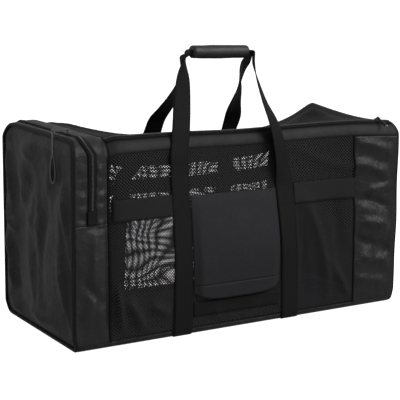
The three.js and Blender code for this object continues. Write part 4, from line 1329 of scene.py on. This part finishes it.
def cord_spot(u, v):
    """A point of the cord: u goes round its section and v round the teardrop."""
    (y0, z0), (y1, z1) = teardrop(v - 1 / loop_cells), teardrop(v + 1 / loop_cells)
    outward = (loop_sideways * (z0 - z1) + Vector((0.0, 0.0, y1 - y0))).normalized()
    turn = 2 * math.pi * u
    round_it = math.cos(turn) * outward + math.sin(turn) * loop_facing
    return loop_point(*teardrop(v)) + loop_cord * round_it, (u, v)


def make_loop_web():
    """The thin dark web that fills the loop: a filled circle bent to the teardrop, then thickened."""
    web = bmesh.new()
    bmesh.ops.create_circle(web, cap_ends=True, segments=loop_cells, radius=1.0)
    for vertex in web.verts:
        share = math.atan2(vertex.co.x, vertex.co.y) / (2 * math.pi)
        vertex.co = loop_point(*teardrop(share))
    piece = finish_piece(web, "loop_web", dark_rubber, [], body="pocket_pull")
    wall = piece.modifiers.new("web_thickness", "SOLIDIFY")
    wall.thickness = loop_web
    wall.offset = 0.0


lay_grid("moulded_loop", cord_cells, loop_cells, cord_spot, rubber, "moulded", ["pocket_pull_loop"],
         thickness=0, body="pocket_pull", merge=True)
make_loop_web()

# %% [markdown]
# ## Floor, lights and backdrop
#
# The bag stands on a plain white ground. A floor that is truly white throws light up into black cloth
# and turns it grey, so the floor and the backdrop are white for the camera alone: a Light Path node
# tells the camera's rays from the rays that light the bag. Three soft boxes give the cloth its sheen,
# a strong one from the front right and two weak ones from the left rear and from above.

# %% Floor and lights
def add_floor():
    """A plain floor that looks white to the camera and is dim to all other rays."""
    ground = bmesh.new()
    bmesh.ops.create_grid(ground, x_segments=1, y_segments=1, size=12.0)
    mesh = bpy.data.meshes.new("floor")
    ground.to_mesh(mesh)
    ground.free()
    floor = bpy.data.objects.new("floor", mesh)
    bpy.context.scene.collection.objects.link(floor)
    paint = Finish("pale_floor", (0.9, 0.9, 0.9), 0.6, gloss=0.2)
    seen = paint.make("ShaderNodeLightPath", output=0)
    paint.feed("Base Color", paint.tint(seen, (0.30, 0.30, 0.30), (0.9, 0.9, 0.9)))
    paint.feed("Emission Color", paint.tint(seen, (0.16, 0.16, 0.16), (1.0, 1.0, 1.0)))
    paint.shader.inputs["Emission Strength"].default_value = 0.95
    mesh.materials.append(paint.material)


def add_light(name, place, aim, size, power):
    """A soft box at a place, turned to its aim."""
    lamp = bpy.data.lights.new(name, "AREA")
    lamp.shape = "RECTANGLE"
    lamp.size, lamp.size_y = size
    lamp.energy = power
    light = bpy.data.objects.new(name, lamp)
    light.location = place
    light.rotation_euler = (Vector(aim) - Vector(place)).to_track_quat("-Z", "Y").to_euler()
    bpy.context.scene.collection.objects.link(light)


def add_world():
    """A white backdrop that the camera sees, and a much dimmer room light on the bag."""
    world = bpy.data.worlds.new("studio")
    world.use_nodes = True
    nodes, links = world.node_tree.nodes, world.node_tree.links
    backdrop = nodes["Background"]
    backdrop.inputs["Color"].default_value = (1.0, 1.0, 1.0, 1.0)
    backdrop.inputs["Strength"].default_value = 1.1
    room = nodes.new("ShaderNodeBackground")
    room.inputs["Color"].default_value = (1.0, 1.0, 1.0, 1.0)
    room.inputs["Strength"].default_value = 0.36
    rays = nodes.new("ShaderNodeLightPath")
    choice = nodes.new("ShaderNodeMixShader")
    links.new(rays.outputs["Is Camera Ray"], choice.inputs["Fac"])
    links.new(room.outputs[0], choice.inputs[1])
    links.new(backdrop.outputs[0], choice.inputs[2])
    links.new(choice.outputs[0], nodes["World Output"].inputs["Surface"])
    bpy.context.scene.world = world


add_floor()
add_light("key_softbox", (1.5, -2.0, 2.0), (0.05, -0.1, 0.2), (1.8, 1.5), 50)
add_light("left_softbox", (-2.4, 0.9, 1.6), (-0.3, 0.0, 0.2), (0.7, 1.4), 9)
add_light("top_softbox", (0.0, 0.6, 2.8), (0.0, 0.0, 0.2), (2.4, 1.6), 4)
add_world()
bpy.context.scene.view_settings.view_transform = "Standard"
print(len(bpy.data.lights), "lights")
